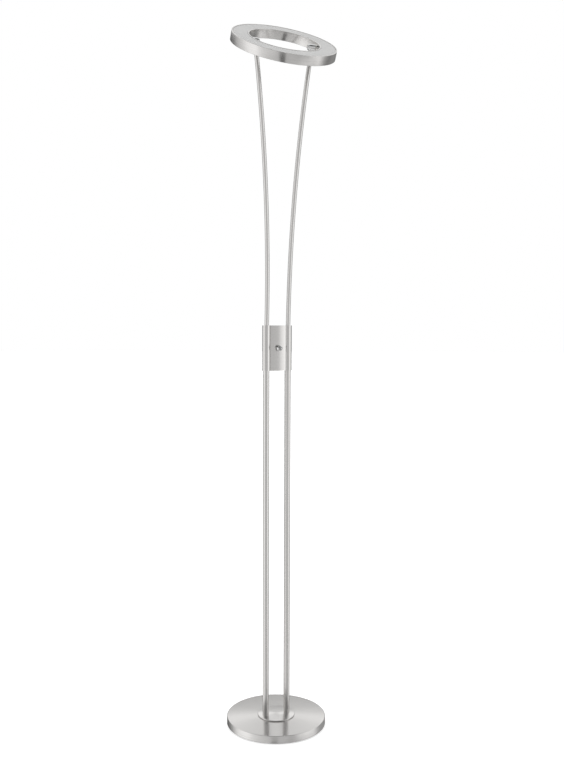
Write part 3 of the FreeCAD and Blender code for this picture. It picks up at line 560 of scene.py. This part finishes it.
collar = turned("stem_collar", [
    (0, BASE_TOP, 0),
    (COLLAR_RADIUS - COLLAR_STEP, BASE_TOP, 0),
    (COLLAR_RADIUS - COLLAR_STEP, BASE_TOP + COLLAR_GAP, 0),
    (COLLAR_RADIUS, BASE_TOP + COLLAR_GAP, 0.15 * MM),
    (COLLAR_RADIUS, COLLAR_TOP, 0.9 * MM),
    (0, COLLAR_TOP, 0),
], SPUN_COLLAR, 192)
stand_for(collar, "frame", "satin_nickel", "collar")

# %% [markdown]
# ## Tubes and rods along their paths
#
# A tube is a circle carried along a line, which is just what Geometry Nodes' Curve to Mesh
# does. One tree makes all four stems: it takes a path, a radius and a number of sides,
# sweeps the circle, and closes the ends. It also stores how far along the path each point
# lies, so that the finish can follow a bent rod as well as a straight tube.

# %% Start, link and end a tree


def tree_with(name, inputs):
    """A new Geometry Nodes tree with named inputs and one geometry output."""
    tree = bpy.data.node_groups.new(name, "GeometryNodeTree")
    tree.interface.new_socket("Geometry", in_out="INPUT", socket_type="NodeSocketGeometry")
    for label, kind in inputs:
        tree.interface.new_socket(label, in_out="INPUT", socket_type=kind)
    tree.interface.new_socket("Geometry", in_out="OUTPUT", socket_type="NodeSocketGeometry")
    return tree, tree.nodes.new("NodeGroupInput"), tree.nodes.new("NodeGroupOutput")


def link(tree, source, output, target, socket):
    tree.links.new(source.outputs[output], target.inputs[socket])


def finish_tree(tree, given, result, last, output):
    """Every tree ends alike: real geometry, then its material."""
    realize = tree.nodes.new("GeometryNodeRealizeInstances")
    paint = tree.nodes.new("GeometryNodeSetMaterial")
    link(tree, last, output, realize, "Geometry")
    link(tree, realize, "Geometry", paint, "Geometry")
    link(tree, given, "Finish", paint, "Material")
    link(tree, paint, "Geometry", result, "Geometry")


print("every tree ends in Realize Instances and Set Material")

# %% [markdown]
# ## The sweeping tree
#
# The path carries its own length and the circle its own position as stored attributes.
# Curve to Mesh hands both on to the swept wall, so the scratches can go round a stem at
# any bend, which plain coordinates could not do on the flared rods.

# %% Build the sweeping tree


def store_attribute(tree, label, kind, source, output):
    """Keep a field under a name, so that a material can read it."""
    store = tree.nodes.new("GeometryNodeStoreNamedAttribute")
    store.data_type = kind
    store.inputs["Name"].default_value = label
    link(tree, tree.nodes.new(source), output, store, "Value")
    return store


def sweep_tree():
    tree, given, result = tree_with("sweep_a_tube", [
        ("Radius", "NodeSocketFloat"), ("Sides", "NodeSocketInt"), ("Finish", "NodeSocketMaterial")])
    circle = tree.nodes.new("GeometryNodeCurvePrimitiveCircle")
    sweep = tree.nodes.new("GeometryNodeCurveToMesh")
    run = store_attribute(tree, "run", "FLOAT", "GeometryNodeSplineParameter", "Length")
    section = store_attribute(tree, "section", "FLOAT_VECTOR", "GeometryNodeInputPosition", "Position")
    sweep.inputs["Fill Caps"].default_value = True
    link(tree, given, "Radius", circle, "Radius")
    link(tree, given, "Sides", circle, "Resolution")
    link(tree, given, "Geometry", run, "Geometry")
    link(tree, run, "Geometry", sweep, "Curve")
    link(tree, circle, "Curve", section, "Geometry")
    link(tree, section, "Geometry", sweep, "Profile Curve")
    finish_tree(tree, given, result, sweep, "Mesh")
    return tree


SWEEP = sweep_tree()
print("the sweeping tree has", len(SWEEP.nodes), "nodes")

# %% [markdown]
# ## Running a tree
#
# A tree runs as a modifier on a starting object, here a line or a pattern piece. Its
# inputs are set by their identifiers, the evaluated result is copied into a plain mesh,
# and the starting object goes, so that nothing live is left on the finished piece.

# %% Run a tree on a starting object


def grow(name, start, tree, values, sharp=35):
    """Run a tree on an object with its inputs set, and keep the result as a plain mesh."""
    modifier = start.modifiers.new("grow", "NODES")
    modifier.node_group = tree
    for item in tree.interface.items_tree:
        if item.in_out == "INPUT" and item.name in values:
            modifier[item.identifier] = values[item.name]
    shapes = bpy.context.evaluated_depsgraph_get()
    mesh = bpy.data.meshes.new_from_object(start.evaluated_get(shapes))
    bpy.data.objects.remove(start)
    data = bmesh.new()
    data.from_mesh(mesh)
    bmesh.ops.recalc_face_normals(data, faces=data.faces)
    data.to_mesh(mesh)
    data.free()
    mesh.name = name
    mesh.shade_smooth()
    mesh.set_sharp_from_angle(angle=math.radians(sharp))
    piece = bpy.data.objects.new(name, mesh)
    bpy.context.scene.collection.objects.link(piece)
    return piece


def path_object(name, points):
    curve = bpy.data.curves.new(name, "CURVE")
    curve.dimensions = "3D"
    line = curve.splines.new("POLY")
    line.points.add(len(points) - 1)
    for point, place in zip(line.points, points):
        point.co = (*place, 1.0)
    item = bpy.data.objects.new(name, curve)
    bpy.context.scene.collection.objects.link(item)
    return item


print("a tree's inputs:", [item.name for item in SWEEP.interface.items_tree if item.in_out == "INPUT"])

# %% [markdown]
# ## The four stems
#
# The tubes are straight, so a line from the base into the sleeve is enough. A rod starts
# upright inside the sleeve, bends into its lean just above it, and then keeps that lean
# while one large arc carries it outward. Every point comes from the pivot's place and the
# arc's spread, so the rods still meet the head if the lamp's height changes.

# %% Sweep the tubes and the rods
ROD_RADIUS = 5.5 * MM
LEAN_START = SLEEVE_TOP + 2 * MM
FLARE_START = SLEEVE_TOP + 24.5 * MM
ROD_END_GAP = 4 * MM
ROD_SPREAD = 74.3 * MM - HALF_SPACING
TUBE_STEPS = 24
FLARE_STEPS = 48


def rod_points(side):
    """Up out of the sleeve, then leaning forward, then along the flare's arc."""
    forward = TUBE_RADIUS - ROD_RADIUS
    lean = math.atan2(-PIVOT.y - forward, PIVOT.z - LEAN_START)
    along = Vector((0, -math.sin(lean), math.cos(lean)))
    foot = Vector((side * HALF_SPACING, -forward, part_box("right_rod")[0].z))
    bend = Vector((foot.x, foot.y, LEAN_START))
    flare = bend + along * ((FLARE_START - LEAN_START) / math.cos(lean))
    rise = (PIVOT.z - flare.z) / math.cos(lean)
    radius = (rise ** 2 + ROD_SPREAD ** 2) / (2 * ROD_SPREAD)
    points = [foot, bend - Vector((0, 0, 2 * MM)), bend + along * 2 * MM]
    for i in range(FLARE_STEPS + 1):
        up = (rise - ROD_END_GAP) * i / FLARE_STEPS
        out = radius * (1 - math.cos(math.asin(up / radius)))
        points.append(flare + along * up + Vector((side * out, 0, 0)))
    return points


for side_name, side in (("left", -1), ("right", 1)):
    tube_low, tube_high = (corner.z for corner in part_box(side_name + "_tube"))
    heights = [tube_low + (tube_high - tube_low) * i / TUBE_STEPS for i in range(TUBE_STEPS + 1)]
    line = path_object("tube_line", [(side * HALF_SPACING, 0, z) for z in heights])
    tube = grow(side_name + "_stem_tube", line, SWEEP,
                {"Radius": TUBE_RADIUS, "Sides": 64, "Finish": DRAWN_TUBE})
    stand_for(tube, "frame", "satin_nickel_tube", side_name + "_tube")
    line = path_object("rod_line", rod_points(side))
    rod = grow(side_name + "_flared_rod", line, SWEEP,
               {"Radius": ROD_RADIUS, "Sides": 48, "Finish": DRAWN_TUBE})
    stand_for(rod, "frame", "satin_nickel_tube", side_name + "_rod")

# %% [markdown]
# ## The sleeve
#
# The sleeve is a die casting with two round lobes about the tubes and a web between them
# whose front is gently crowned. A sharp crease parts the web from each lobe. The section
# is drawn once, with the lobes as arcs and the web as a shallow curve, then pushed up with
# a small bevel at both ends. Modelling the lobes as cylinders and joining them would leave
# the creases to a Boolean; one outline keeps them exact.

# %% Draw the sleeve's section and raise it
LOBE_RADIUS = extent("sleeve_body").y / 2
WEB_EDGE = 7.7 * MM
WEB_CROWN = 1.9 * MM
LOBE_STEPS = 40
WEB_STEPS = 64
CREASE_DEPTH = 2.2 * MM
CREASE_WIDTH = 1.5 * MM


def sleeve_section():
    """Counter-clockwise outline in X and Y, from the right lobe's front crease."""
    reach = math.sqrt(LOBE_RADIUS ** 2 - WEB_EDGE ** 2)
    crease = math.atan2(WEB_EDGE, -reach)
    outline = []
    for side in (1, -1):
        for i in range(LOBE_STEPS + 1):
            angle = -crease + 2 * crease * i / LOBE_STEPS
            x = HALF_SPACING + LOBE_RADIUS * math.cos(angle)
            outline.append((side * x, side * LOBE_RADIUS * math.sin(angle)))
        edge = HALF_SPACING - reach
        crown = WEB_CROWN if side < 0 else 0.0
        for i in range(1, WEB_STEPS):
            share = i / WEB_STEPS
            from_crease = 2 * edge * min(share, 1 - share)
            groove = CREASE_DEPTH * max(0.0, 1 - from_crease / CREASE_WIDTH) if side < 0 else 0.0
            depth = WEB_EDGE + crown * (1 - (2 * share - 1) ** 2) - groove
            outline.append((side * edge * (1 - 2 * share), side * depth))
    return outline


def raise_section(name, outline, low, high, bevel, material):
    data = bmesh.new()
    rings = [[data.verts.new((x, y, z)) for x, y in outline] for z in (low, high)]
    count = len(outline)
    for i in range(count):
        j = (i + 1) % count
        data.faces.new((rings[0][i], rings[0][j], rings[1][j], rings[1][i]))
    caps = [data.faces.new(list(reversed(rings[0]))), data.faces.new(rings[1])]
    rim = [edge for cap in caps for edge in cap.edges]
    bmesh.ops.bevel(data, geom=rim, offset=bevel, segments=3, affect="EDGES", profile=0.6)
    return finish_mesh(name, data, material, 25)


sleeve = raise_section("dimmer_sleeve", sleeve_section(), SLEEVE_LOW, SLEEVE_TOP, 0.35 * MM, CAST_SLEEVE)
stand_for(sleeve, "frame", "satin_nickel_cast", "sleeve_body")

# %% [markdown]
# ## The dimmer knob
#
# A chromed knob, nearly a ball, on a thin neck. It is spun about its shaft, so it turns in
# place when the dimmer's joint moves; a shallow pointer groove near its top shows the turn.
# A sphere would do for the front, but the back is flatter, and an outline takes both.

# %% Spin the knob
knob_low, knob_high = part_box("dimmer_knob")
KNOB_RADIUS = 7.6 * MM
KNOB_DEPTH = 14.4 * MM
KNOB_DOME = 6.1 * MM
KNOB_BACK = 3.0 * MM
KNOB_NECK = 4.4 * MM
KNOB_BORE = 3.0 * MM
knob_length = knob_high.y - knob_low.y
knob_height = middle("dimmer_knob").z
knob_place = Matrix.Translation((0, knob_low.y, knob_height)) @ Matrix.Rotation(-math.pi / 2, 4, "X")
knob = turned("chrome_knob", [
    (0, 0, 0),
    (KNOB_RADIUS, 0, KNOB_DOME),
    (KNOB_RADIUS, KNOB_DEPTH, KNOB_BACK),
    (KNOB_NECK, KNOB_DEPTH, 0),
    (KNOB_NECK, knob_length, 0.3 * MM),
    (KNOB_BORE, knob_length, 0),
    (KNOB_BORE, KNOB_DOME, 0),
    (0, KNOB_DOME, 0),
], CHROME, 96, knob_place)
groove_place = Matrix.Translation((0, knob_low.y - 1.6 * MM, knob_height + 4.6 * MM))
cut_away(knob, rod_cutter("groove", 0.45 * MM, -2 * MM, 4 * MM, 12, groove_place))
stand_for(knob, "knob", "polished_chrome", "dimmer_knob")

# %% [markdown]
# ## The light head
#
# The housing is a channel bent into a ring, with a lip on both sides of the diffuser. The
# section is the frame's, with every edge broken as on the real casting. The ring is spun
# level and then tilted about the pivots, as a turner would make it flat and mount it after.

# %% Spin the housing and the diffuser
RING_INNER = 87.6 * MM
RING_HALF = 11.5 * MM
RING_WALL_THICK = 1.6 * MM
LIP = 3.2 * MM
LEDGE = 1.6 * MM
RECESS = 0.7 * MM
OPAL_THICK = 3.0 * MM
OPAL_PLAY = 0.3 * MM
IN_HEAD = Matrix.Translation(PIVOT) @ Matrix.Rotation(HEAD_TILT, 4, "X")


def wall_outline(radius, inward):
    """Half of the channel's section, from the lip's inner top corner down to the floor."""
    ledge = RING_HALF - RECESS - OPAL_THICK
    return [
        (radius, RING_HALF, 0.6 * MM),
        (radius + inward * LIP, RING_HALF, 0.3 * MM),
        (radius + inward * LIP, ledge, 0),
        (radius + inward * (LIP + LEDGE), ledge, 0),
        (radius + inward * (LIP + LEDGE), ledge - 2 * MM, 0),
        (radius + inward * RING_WALL_THICK, ledge - 4 * MM, 0),
        (radius + inward * RING_WALL_THICK, RING_WALL_THICK - RING_HALF, 0.8 * MM),
    ]


housing = turned("ring_channel", (
    [(RING_OUTER, -RING_HALF, 0.8 * MM)] + wall_outline(RING_OUTER, -1)
    + wall_outline(RING_INNER, 1)[::-1] + [(RING_INNER, -RING_HALF, 0.8 * MM)]
), RING_WALL, 256, IN_HEAD)
stand_for(housing, "head", "satin_nickel_ring", "ring_housing")

opal_low = RING_HALF - RECESS - OPAL_THICK
opal_outer = RING_OUTER - LIP - OPAL_PLAY
opal_inner = RING_INNER + LIP + OPAL_PLAY
opal_ring = turned("opal_ring", [
    (opal_inner, opal_low, 0),
    (opal_outer, opal_low, 0),
    (opal_outer, opal_low + OPAL_THICK, 0.5 * MM),
    (opal_inner, opal_low + OPAL_THICK, 0.5 * MM),
], OPAL, 256, IN_HEAD)
stand_for(opal_ring, "head", "satin_acrylic", "diffuser")

# %% [markdown]
# ## Knuckles and pivot screws
#
# The knuckles are chromed barrels brazed to the rods' ends. Each takes a shoulder screw
# from the inside, and the screw's rounded head with its hex recess is what one sees
# through the ring. Both lie along X, so the outlines are spun and then laid on their side.

# %% Spin the knuckles and screws
KNUCKLE_RADIUS = 8.3 * MM
PIN_RADIUS = 3.0 * MM
HEAD_RADIUS = 6.6 * MM
HEAD_THICK = 2.4 * MM
KEY_RADIUS = 2.4 * MM
KEY_DEPTH = 2.7 * MM
BORE_PLAY = 0.05 * MM


def along_x(side, start):
    """Lay a spun piece along X, pointing outward from the lamp's middle."""
    return Matrix.Translation((side * start, PIVOT.y, PIVOT.z)) @ Matrix.Rotation(side * math.pi / 2, 4, "Y")


screws = []
for side_name, side in (("left", -1), ("right", 1)):
    low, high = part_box(side_name + "_knuckle")
    inner_end = min(abs(low.x), abs(high.x))
    length = extent(side_name + "_knuckle").x
    barrel = turned(side_name + "_barrel", [
        (PIN_RADIUS + BORE_PLAY, 0, 0),
        (KNUCKLE_RADIUS, 0, 2.8 * MM),
        (KNUCKLE_RADIUS, length, 1.6 * MM),
        (PIN_RADIUS + BORE_PLAY, length, 0),
    ], CHROME, 72, along_x(side, inner_end))
    stand_for(barrel, "frame", "polished_chrome", side_name + "_knuckle")
    head_face = inner_end - 0.15 * MM
    pin_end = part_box("pivot_screws")[1].x - head_face + HEAD_THICK
    screw = turned(side_name + "_pivot_cap", [
        (0, 0, 0),
        (HEAD_RADIUS, 0, 2.0 * MM),
        (HEAD_RADIUS, HEAD_THICK, 0.3 * MM),
        (PIN_RADIUS, HEAD_THICK, 0),
        (PIN_RADIUS, pin_end, 0.4 * MM),
        (0, pin_end, 0),
    ], CHROME, 72, along_x(side, head_face - HEAD_THICK))
    key_place = along_x(side, head_face - HEAD_THICK - 1 * MM)
    cut_away(screw, rod_cutter("hex_key", KEY_RADIUS, 0, KEY_DEPTH, 6, key_place))
    screws.append(screw)

stand_for(join(screws, "pivot_caps"), "head", "polished_chrome", "pivot_screws")

# %% [markdown]
# ## Rings of small parts
#
# Pads, posts, screws and light packages all repeat evenly round a circle. Copying them by
# hand would fix their number, so one Geometry Nodes tree places a piece on the points of a
# mesh circle and turns each copy to face outward. A new count is then one number.

# %% Build the ring-of-copies tree


def ring_tree():
    tree, given, result = tree_with("ring_of_copies", [
        ("Count", "NodeSocketInt"), ("Radius", "NodeSocketFloat"), ("Phase", "NodeSocketFloat"),
        ("Finish", "NodeSocketMaterial")])
    circle = tree.nodes.new("GeometryNodeMeshCircle")
    copies = tree.nodes.new("GeometryNodeInstanceOnPoints")
    index = tree.nodes.new("GeometryNodeInputIndex")
    step = tree.nodes.new("ShaderNodeMath")
    step.operation = "DIVIDE"
    step.inputs[0].default_value = 2 * math.pi
    angle = tree.nodes.new("ShaderNodeMath")
    angle.operation = "MULTIPLY"
    vector = tree.nodes.new("ShaderNodeCombineXYZ")
    whole = tree.nodes.new("GeometryNodeTransform")
    phase = tree.nodes.new("ShaderNodeCombineXYZ")
    link(tree, given, "Count", circle, "Vertices")
    link(tree, given, "Radius", circle, "Radius")
    link(tree, given, "Count", step, 1)
    link(tree, index, 0, angle, 0)
    link(tree, step, 0, angle, 1)
    link(tree, angle, 0, vector, "Z")
    link(tree, circle, "Mesh", copies, "Points")
    link(tree, given, "Geometry", copies, "Instance")
    link(tree, vector, 0, copies, "Rotation")
    link(tree, copies, "Instances", whole, "Geometry")
    link(tree, given, "Phase", phase, "Z")
    link(tree, phase, 0, whole, "Rotation")
    finish_tree(tree, given, result, whole, "Geometry")
    return tree


RING = ring_tree()
print("the ring tree has", len(RING.nodes), "nodes")


def ring_of(name, pattern, count, radius, phase_degrees, material, place=Matrix.Identity(4)):
    """Copies of a pattern piece about the Z axis, then moved to their place."""
    values = {"Count": count, "Radius": radius, "Phase": math.radians(phase_degrees), "Finish": material}
    piece = grow(name, pattern, RING, values, 30)
    piece.data.transform(place)
    return piece


# %% [markdown]
# ## Under the base
#
# Rubber pads keep the lamp from sliding, five in a ring and one in the middle, and four
# countersunk screws with a cross recess hold the bottom plate. The recess is two thin
# wedges cut from each screw before it is copied, so it is cut once and not four times.

# %% Place the pads and the base's screws
PAD_RADIUS = 11 * MM
PAD_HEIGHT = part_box("foot_pads")[1].z
PAD_CIRCLE = 104 * MM
PAD_COUNT = 5


def pad(name):
    outline = [(0, 0, 0), (PAD_RADIUS, 0, 0.5 * MM), (PAD_RADIUS, PAD_HEIGHT, 0.3 * MM), (0, PAD_HEIGHT, 0)]
    return turned(name, outline, RUBBER, 40)


pads = ring_of("anti_slip_pads", pad("pad_pattern"), PAD_COUNT, PAD_CIRCLE, 54, RUBBER)
pads = join([pads, pad("centre_pad")], "anti_slip_pads")
stand_for(pads, "frame", "pad_rubber", "foot_pads")

screw_low, screw_top = (corner.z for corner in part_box("plate_screws"))
head_low = screw_low + 0.05 * MM
screw_pattern = turned("screw_pattern", [
    (0, head_low, 0),
    (3.9 * MM, head_low, 0),
    (2.0 * MM, screw_low + 1.5 * MM, 0),
    (2.0 * MM, screw_top, 0.5 * MM),
    (0, screw_top, 0),
], ZINC, 32)
BLADE = [(0, 0, 0), (2.4 * MM, 0, 0), (1.2 * MM, 1.6 * MM, 0), (0, 1.6 * MM, 0)]
THIN = Matrix.Diagonal((1.0, 0.22, 1.0, 1.0)) @ Matrix.Rotation(math.radians(45), 4, "Z")
for turn in (0, 90):
    spot = Matrix.Translation((0, 0, screw_low - 0.3 * MM)) @ Matrix.Rotation(math.radians(turn), 4, "Z")
    cut_away(screw_pattern, turned("blade", BLADE, ZINC, 4, spot @ THIN))
plate_screws = ring_of("plate_screw_set", screw_pattern, 4, 84 * MM, 45, ZINC)
stand_for(plate_screws, "frame", "zinc_screws", "plate_screws")

# %% [markdown]
# ## Inside the head
#
# Six brass posts stand on the housing's floor and carry a tray, held by six screws. They
# are built level, ringed by the tree, and tilted with the housing.

# %% Place the posts and the tray's screws
HEAD_FLOOR = RING_WALL_THICK - RING_HALF
POST_HEIGHT = 9 * MM
TRAY = 1.2 * MM
POST_CIRCLE = RING_OUTER - RING_WALL_THICK - 6.1 * MM
POST_COUNT = 6


def in_head(height):
    """Place a ring of pieces at a height in the tilted head."""
    return IN_HEAD @ Matrix.Translation((0, 0, height))


post = turned("post_pattern", [
    (0, 0, 0), (3 * MM, 0, 0.3 * MM), (3 * MM, POST_HEIGHT, 0.3 * MM), (0, POST_HEIGHT, 0),
], BRASS, 6)
posts = ring_of("tray_standoffs", post, POST_COUNT, POST_CIRCLE, 0, BRASS, in_head(HEAD_FLOOR))
stand_for(posts, "head", "brass_posts", "tray_posts")

tray_screw = turned("tray_screw_pattern", [
    (0, 0, 0), (1 * MM, 0, 0), (1 * MM, TRAY, 0), (2.1 * MM, TRAY, 0), (2.1 * MM, 2 * TRAY, 0.5 * MM),
    (0, 2 * TRAY, 0),
], ZINC, 24)
tray_screws = ring_of("tray_screw_set", tray_screw, POST_COUNT, POST_CIRCLE, 0, ZINC,
                      in_head(HEAD_FLOOR + POST_HEIGHT))
stand_for(tray_screws, "head", "zinc_screws", "tray_screws")

# %% [markdown]
# ## The light packages
#
# Forty-eight small packages sit on the tray's board, under the diffuser. There are many,
# so each is a block with broken edges and a sunk window, and only a few dozen faces.

# %% Place the light packages
LED_BOARD = 1.4 * MM
CHIP_CIRCLE = 108.0 * MM
CHIP_COUNT = 48
CHIP_SIZE = Vector((3.0, 5.0, 0.8)) * MM


def chip_pattern():
    """A small block with broken upright edges and a sunk window on top."""
    data = bmesh.new()
    bmesh.ops.create_cube(data, size=1.0)
    bmesh.ops.scale(data, vec=CHIP_SIZE, verts=data.verts)
    bmesh.ops.translate(data, vec=(0, 0, CHIP_SIZE.z / 2), verts=data.verts)
    upright = [edge for edge in data.edges
               if abs(edge.verts[0].co.z - edge.verts[1].co.z) > 0.1 * MM]
    bmesh.ops.bevel(data, geom=upright, offset=0.3 * MM, segments=1, affect="EDGES")
    top = max(data.faces, key=lambda face: face.calc_center_median().z)
    bmesh.ops.inset_region(data, faces=[top], thickness=0.35 * MM, depth=-0.2 * MM)
    return finish_mesh("chip_pattern", data, PHOSPHOR, 30)


chips = ring_of("led_packages", chip_pattern(), CHIP_COUNT, CHIP_CIRCLE, 0, PHOSPHOR,
                in_head(HEAD_FLOOR + POST_HEIGHT + TRAY + LED_BOARD))
stand_for(chips, "head", "led_phosphor", "led_chips")

# %% [markdown]
# ## Parts that keep their own mesh
#
# Everything else is already right in the frame and only needs its finish. Each node takes
# the material of the stuff it is made of.

# %% Give the remaining parts their finishes
FINISHES = {
    "base_weight": CAST_IRON,
    "bottom_plate": BLACK_STEEL,
    "cord_gland": RUBBER,
    "terminal_block": IVORY,
    "tube_plugs": ZINC,
    "base_nipples": ZINC,
    "base_washers": ZINC,
    "base_nuts": ZINC,
    "grub_screws": BLACK_OXIDE,
    "sleeve_cover": GREY_PAINT,
    "cover_screws": BLACK_OXIDE,
    "dimmer_case": ALUMINIUM,
    "dimmer_nut": CHROME,
    "dimmer_board": BOARD,
    "dimmer_parts": BLACK_PLASTIC,
    "dimmer_shaft": ZINC,
    "friction_washers": NYLON,
    "pivot_bosses": CHROME,
    "led_tray": ALUMINIUM,
    "led_board": WHITE_MASK,
    "driver_board": BOARD,
    "driver_parts": BLACK_PLASTIC,
}
for node_name, finish in FINISHES.items():
    slots = NODES[node_name].data.materials
    for i in range(len(slots)):
        slots[i] = finish
print(len(FINISHES), "nodes keep their mesh")

# %% [markdown]
# ## The studio
#
# Satin metal shows its surroundings, so the studio matters as much as the finish. The
# world is a soft tent with bright panels and darker gaps. Area lamps could stand in for the
# panels, but a ramp over the compass angle is easier to tune: one ramp for each band of
# heights, blended from one to the next. Dark gaps behind the lamp draw its outline, and the
# camera itself sees plain white.

# %% Start the world and find the direction
scene = bpy.context.scene
scene.view_settings.view_transform = "Standard"
CAMERA_AZIMUTH = math.radians(-21.1)

world = bpy.data.worlds.new("studio")
world.use_nodes = True
scene.world = world
sky = world.node_tree


class SkyShader(Shader):
    """The same node method, writing into the world's tree."""

    def __init__(self, tree):
        self.tree = tree


tent = SkyShader(sky)
direction = tent.node("ShaderNodeTexCoord", output="Generated")
east, north, up = tent.split(direction)
turn_from_camera = east.math("ARCTAN2", north * -1.0) - CAMERA_AZIMUTH
share = (turn_from_camera * (0.5 / math.pi) + 1.5).math("FRACT")

print("the compass angle is measured from", round(math.degrees(CAMERA_AZIMUTH), 1), "degrees")

# %% [markdown]
# ## The panels
#
# Each band of heights lists the angle from the camera's side in degrees and the tent's
# brightness there. Upright metal mirrors the middle bands, the base's skirt and the ring
# the low ones, and the tops of the base and collar the high ones, so each part of the lamp
# can be lit by itself.

# %% List the panels, from below to overhead
NADIR = [
    (-180, 0.15), (-143, 0.15), (-115, 0.58), (-84, 0.78), (-60, 0.60), (-40, 0.52), (-22, 0.50),
    (-14, 0.46), (-9, 0.10), (2, 0.10), (7, 0.46), (20, 0.48), (42, 0.50), (62, 0.62), (80, 0.70),
    (96, 0.52), (124, 0.22), (180, 0.15),
]
LOW = [
    (-180, 0.12), (-147, 0.13), (-123, 0.32), (-99, 0.92), (-74, 0.92), (-50, 0.74), (-25, 0.74),
    (-8, 0.52), (20, 0.46), (35, 0.22), (62, 0.18), (76, 0.55), (98, 0.80), (123, 0.40), (147, 0.30),
    (180, 0.12),
]
MIDDLE = [
    (-180, 0.14), (-159, 0.09), (-143, 0.11), (-130, 0.20), (-115, 0.46), (-97, 0.68), (-84, 0.88),
    (-65, 0.98), (-50, 0.70), (-25, 0.47), (0, 0.46), (31, 0.51), (42, 0.55), (50, 0.82), (58, 1.00),
    (75, 0.96), (95, 0.74), (110, 0.34), (124, 0.19), (140, 0.24), (160, 0.20), (180, 0.14),
]
HIGH = [
    (-180, 0.88), (-110, 0.88), (-80, 0.60), (-50, 0.20), (-20, 0.10), (20, 0.08), (60, 0.14),
    (85, 0.60), (110, 0.86), (180, 0.88),
]
UPPER = [
    (-180, 0.66), (-100, 0.66), (-70, 0.34), (-35, 0.08), (60, 0.07), (85, 0.38), (110, 0.66),
    (180, 0.66),
]
ZENITH = 0.64
TENT_STRENGTH = 1.35
WHITE = (1.0, 1.0, 1.0, 1.0)
print("panels listed:", sum(len(panels) for panels in (NADIR, LOW, MIDDLE, HIGH, UPPER)))

# %% [markdown]
# ## From panels to light
#
# A band becomes a colour ramp over the compass angle. Each pair of bands is blended over a
# few degrees of height, so that no hard line shows in the metal.

# %% Blend the bands into a sky

def band(panels):
    """A grey ramp over the compass angle."""
    stops = [((angle + 180) / 360, (level,) * 3) for angle, level in panels]
    return tent.node("ShaderNodeValToRGB", {"stops": stops}, {"Fac": share})


def mixed(share_of_second, first, second):
    """Blend two colours."""
    inputs = {0: share_of_second, 6: first, 7: second}
    return tent.node("ShaderNodeMix", {"data_type": "RGBA"}, inputs, output=2)


def change(start, end, below, above):
    """Go from one light to another between two elevations in degrees."""
    limits = {"From Min": math.sin(math.radians(start)), "From Max": math.sin(math.radians(end))}
    settings = {"interpolation_type": "SMOOTHSTEP"}
    return mixed(tent.node("ShaderNodeMapRange", settings, {"Value": up, **limits}), below, above)


tent_light = change(-35, -29, band(NADIR), band(LOW))
tent_light = change(-23, -18, tent_light, band(MIDDLE))
tent_light = change(18, 23, tent_light, band(HIGH))
tent_light = change(28, 34, tent_light, band(UPPER))
tent_light = change(66, 80, tent_light, (ZENITH,) * 3 + (1.0,))
tent_light = tent.node("ShaderNodeVectorMath", {"operation": "SCALE"},
                       {0: tent_light, "Scale": TENT_STRENGTH})
final = mixed(tent.node("ShaderNodeLightPath", output="Is Camera Ray"), tent_light, WHITE)
sky.links.new(final.socket, sky.nodes["Background"].inputs["Color"])

print("the tent has", len(sky.nodes), "nodes")

# %% [markdown]
# ## The overhead light
#
# A sun with a very wide disc is as soft as a large panel overhead, and lights the floor,
# the diffuser and the painted parts evenly. Metal doesn't mirror it.

# %% Add the overhead light
sun = bpy.data.lights.new("overhead_panel", "SUN")
sun.energy = 1.7
sun.angle = math.radians(100)
sun_object = bpy.data.objects.new("overhead_panel", sun)
sun_object.visible_glossy = False
scene.collection.objects.link(sun_object)
print("overhead light:", round(sun.energy, 2), "W/m2 over", round(math.degrees(sun.angle)), "degrees")

# %% [markdown]
# ## The floor
#
# A pale sheet of paper, wide enough that its edge is never seen. It glows a little, which
# keeps it white where the lamp and its own fall-off would grey it.

# %% Lay the floor
FLOOR_REACH = 30.0
floor_data = bmesh.new()
bmesh.ops.create_circle(floor_data, cap_ends=True, segments=96, radius=FLOOR_REACH)
paper = Shader("studio_paper", roughness=0.9, colour=(0.93, 0.93, 0.93))
paper.surface.inputs["Specular IOR Level"].default_value = 0.0
paper.surface.inputs["Emission Color"].default_value = WHITE
paper.surface.inputs["Emission Strength"].default_value = 0.28
floor = finish_mesh("studio_floor", floor_data, paper.material)
floor.visible_glossy = False
print("the floor is", 2 * FLOOR_REACH, "m across")

# %% [markdown]
# ## The camera
#
# The lamp is seen from a little to its left, from about chest height and slightly
# downwards, with a moderately long lens so that the stems stay nearly upright.

# %% Set the camera
CAMERA_DISTANCE = 2.322
CAMERA_HEIGHT = 1.0445
CAMERA_ASIDE = 0.0129
CAMERA_PITCH = 0.068
CAMERA_ROLL = 0.003
CAMERA_LENS = 42.73
camera_data = bpy.data.cameras.new("camera")
camera_data.lens = CAMERA_LENS
camera = bpy.data.objects.new("camera", camera_data)
across = Vector((math.cos(CAMERA_AZIMUTH), math.sin(CAMERA_AZIMUTH), 0))
ahead = Vector((-math.sin(CAMERA_AZIMUTH), math.cos(CAMERA_AZIMUTH), 0))
camera.location = across * CAMERA_ASIDE - ahead * CAMERA_DISTANCE + Vector((0, 0, CAMERA_HEIGHT))
camera.rotation_euler = (Euler((math.pi / 2 - CAMERA_PITCH, 0, CAMERA_AZIMUTH)).to_matrix()
                         @ Matrix.Rotation(CAMERA_ROLL, 3, "Z")).to_euler()
scene.collection.objects.link(camera)
scene.camera = camera
print("camera at", camera.location)
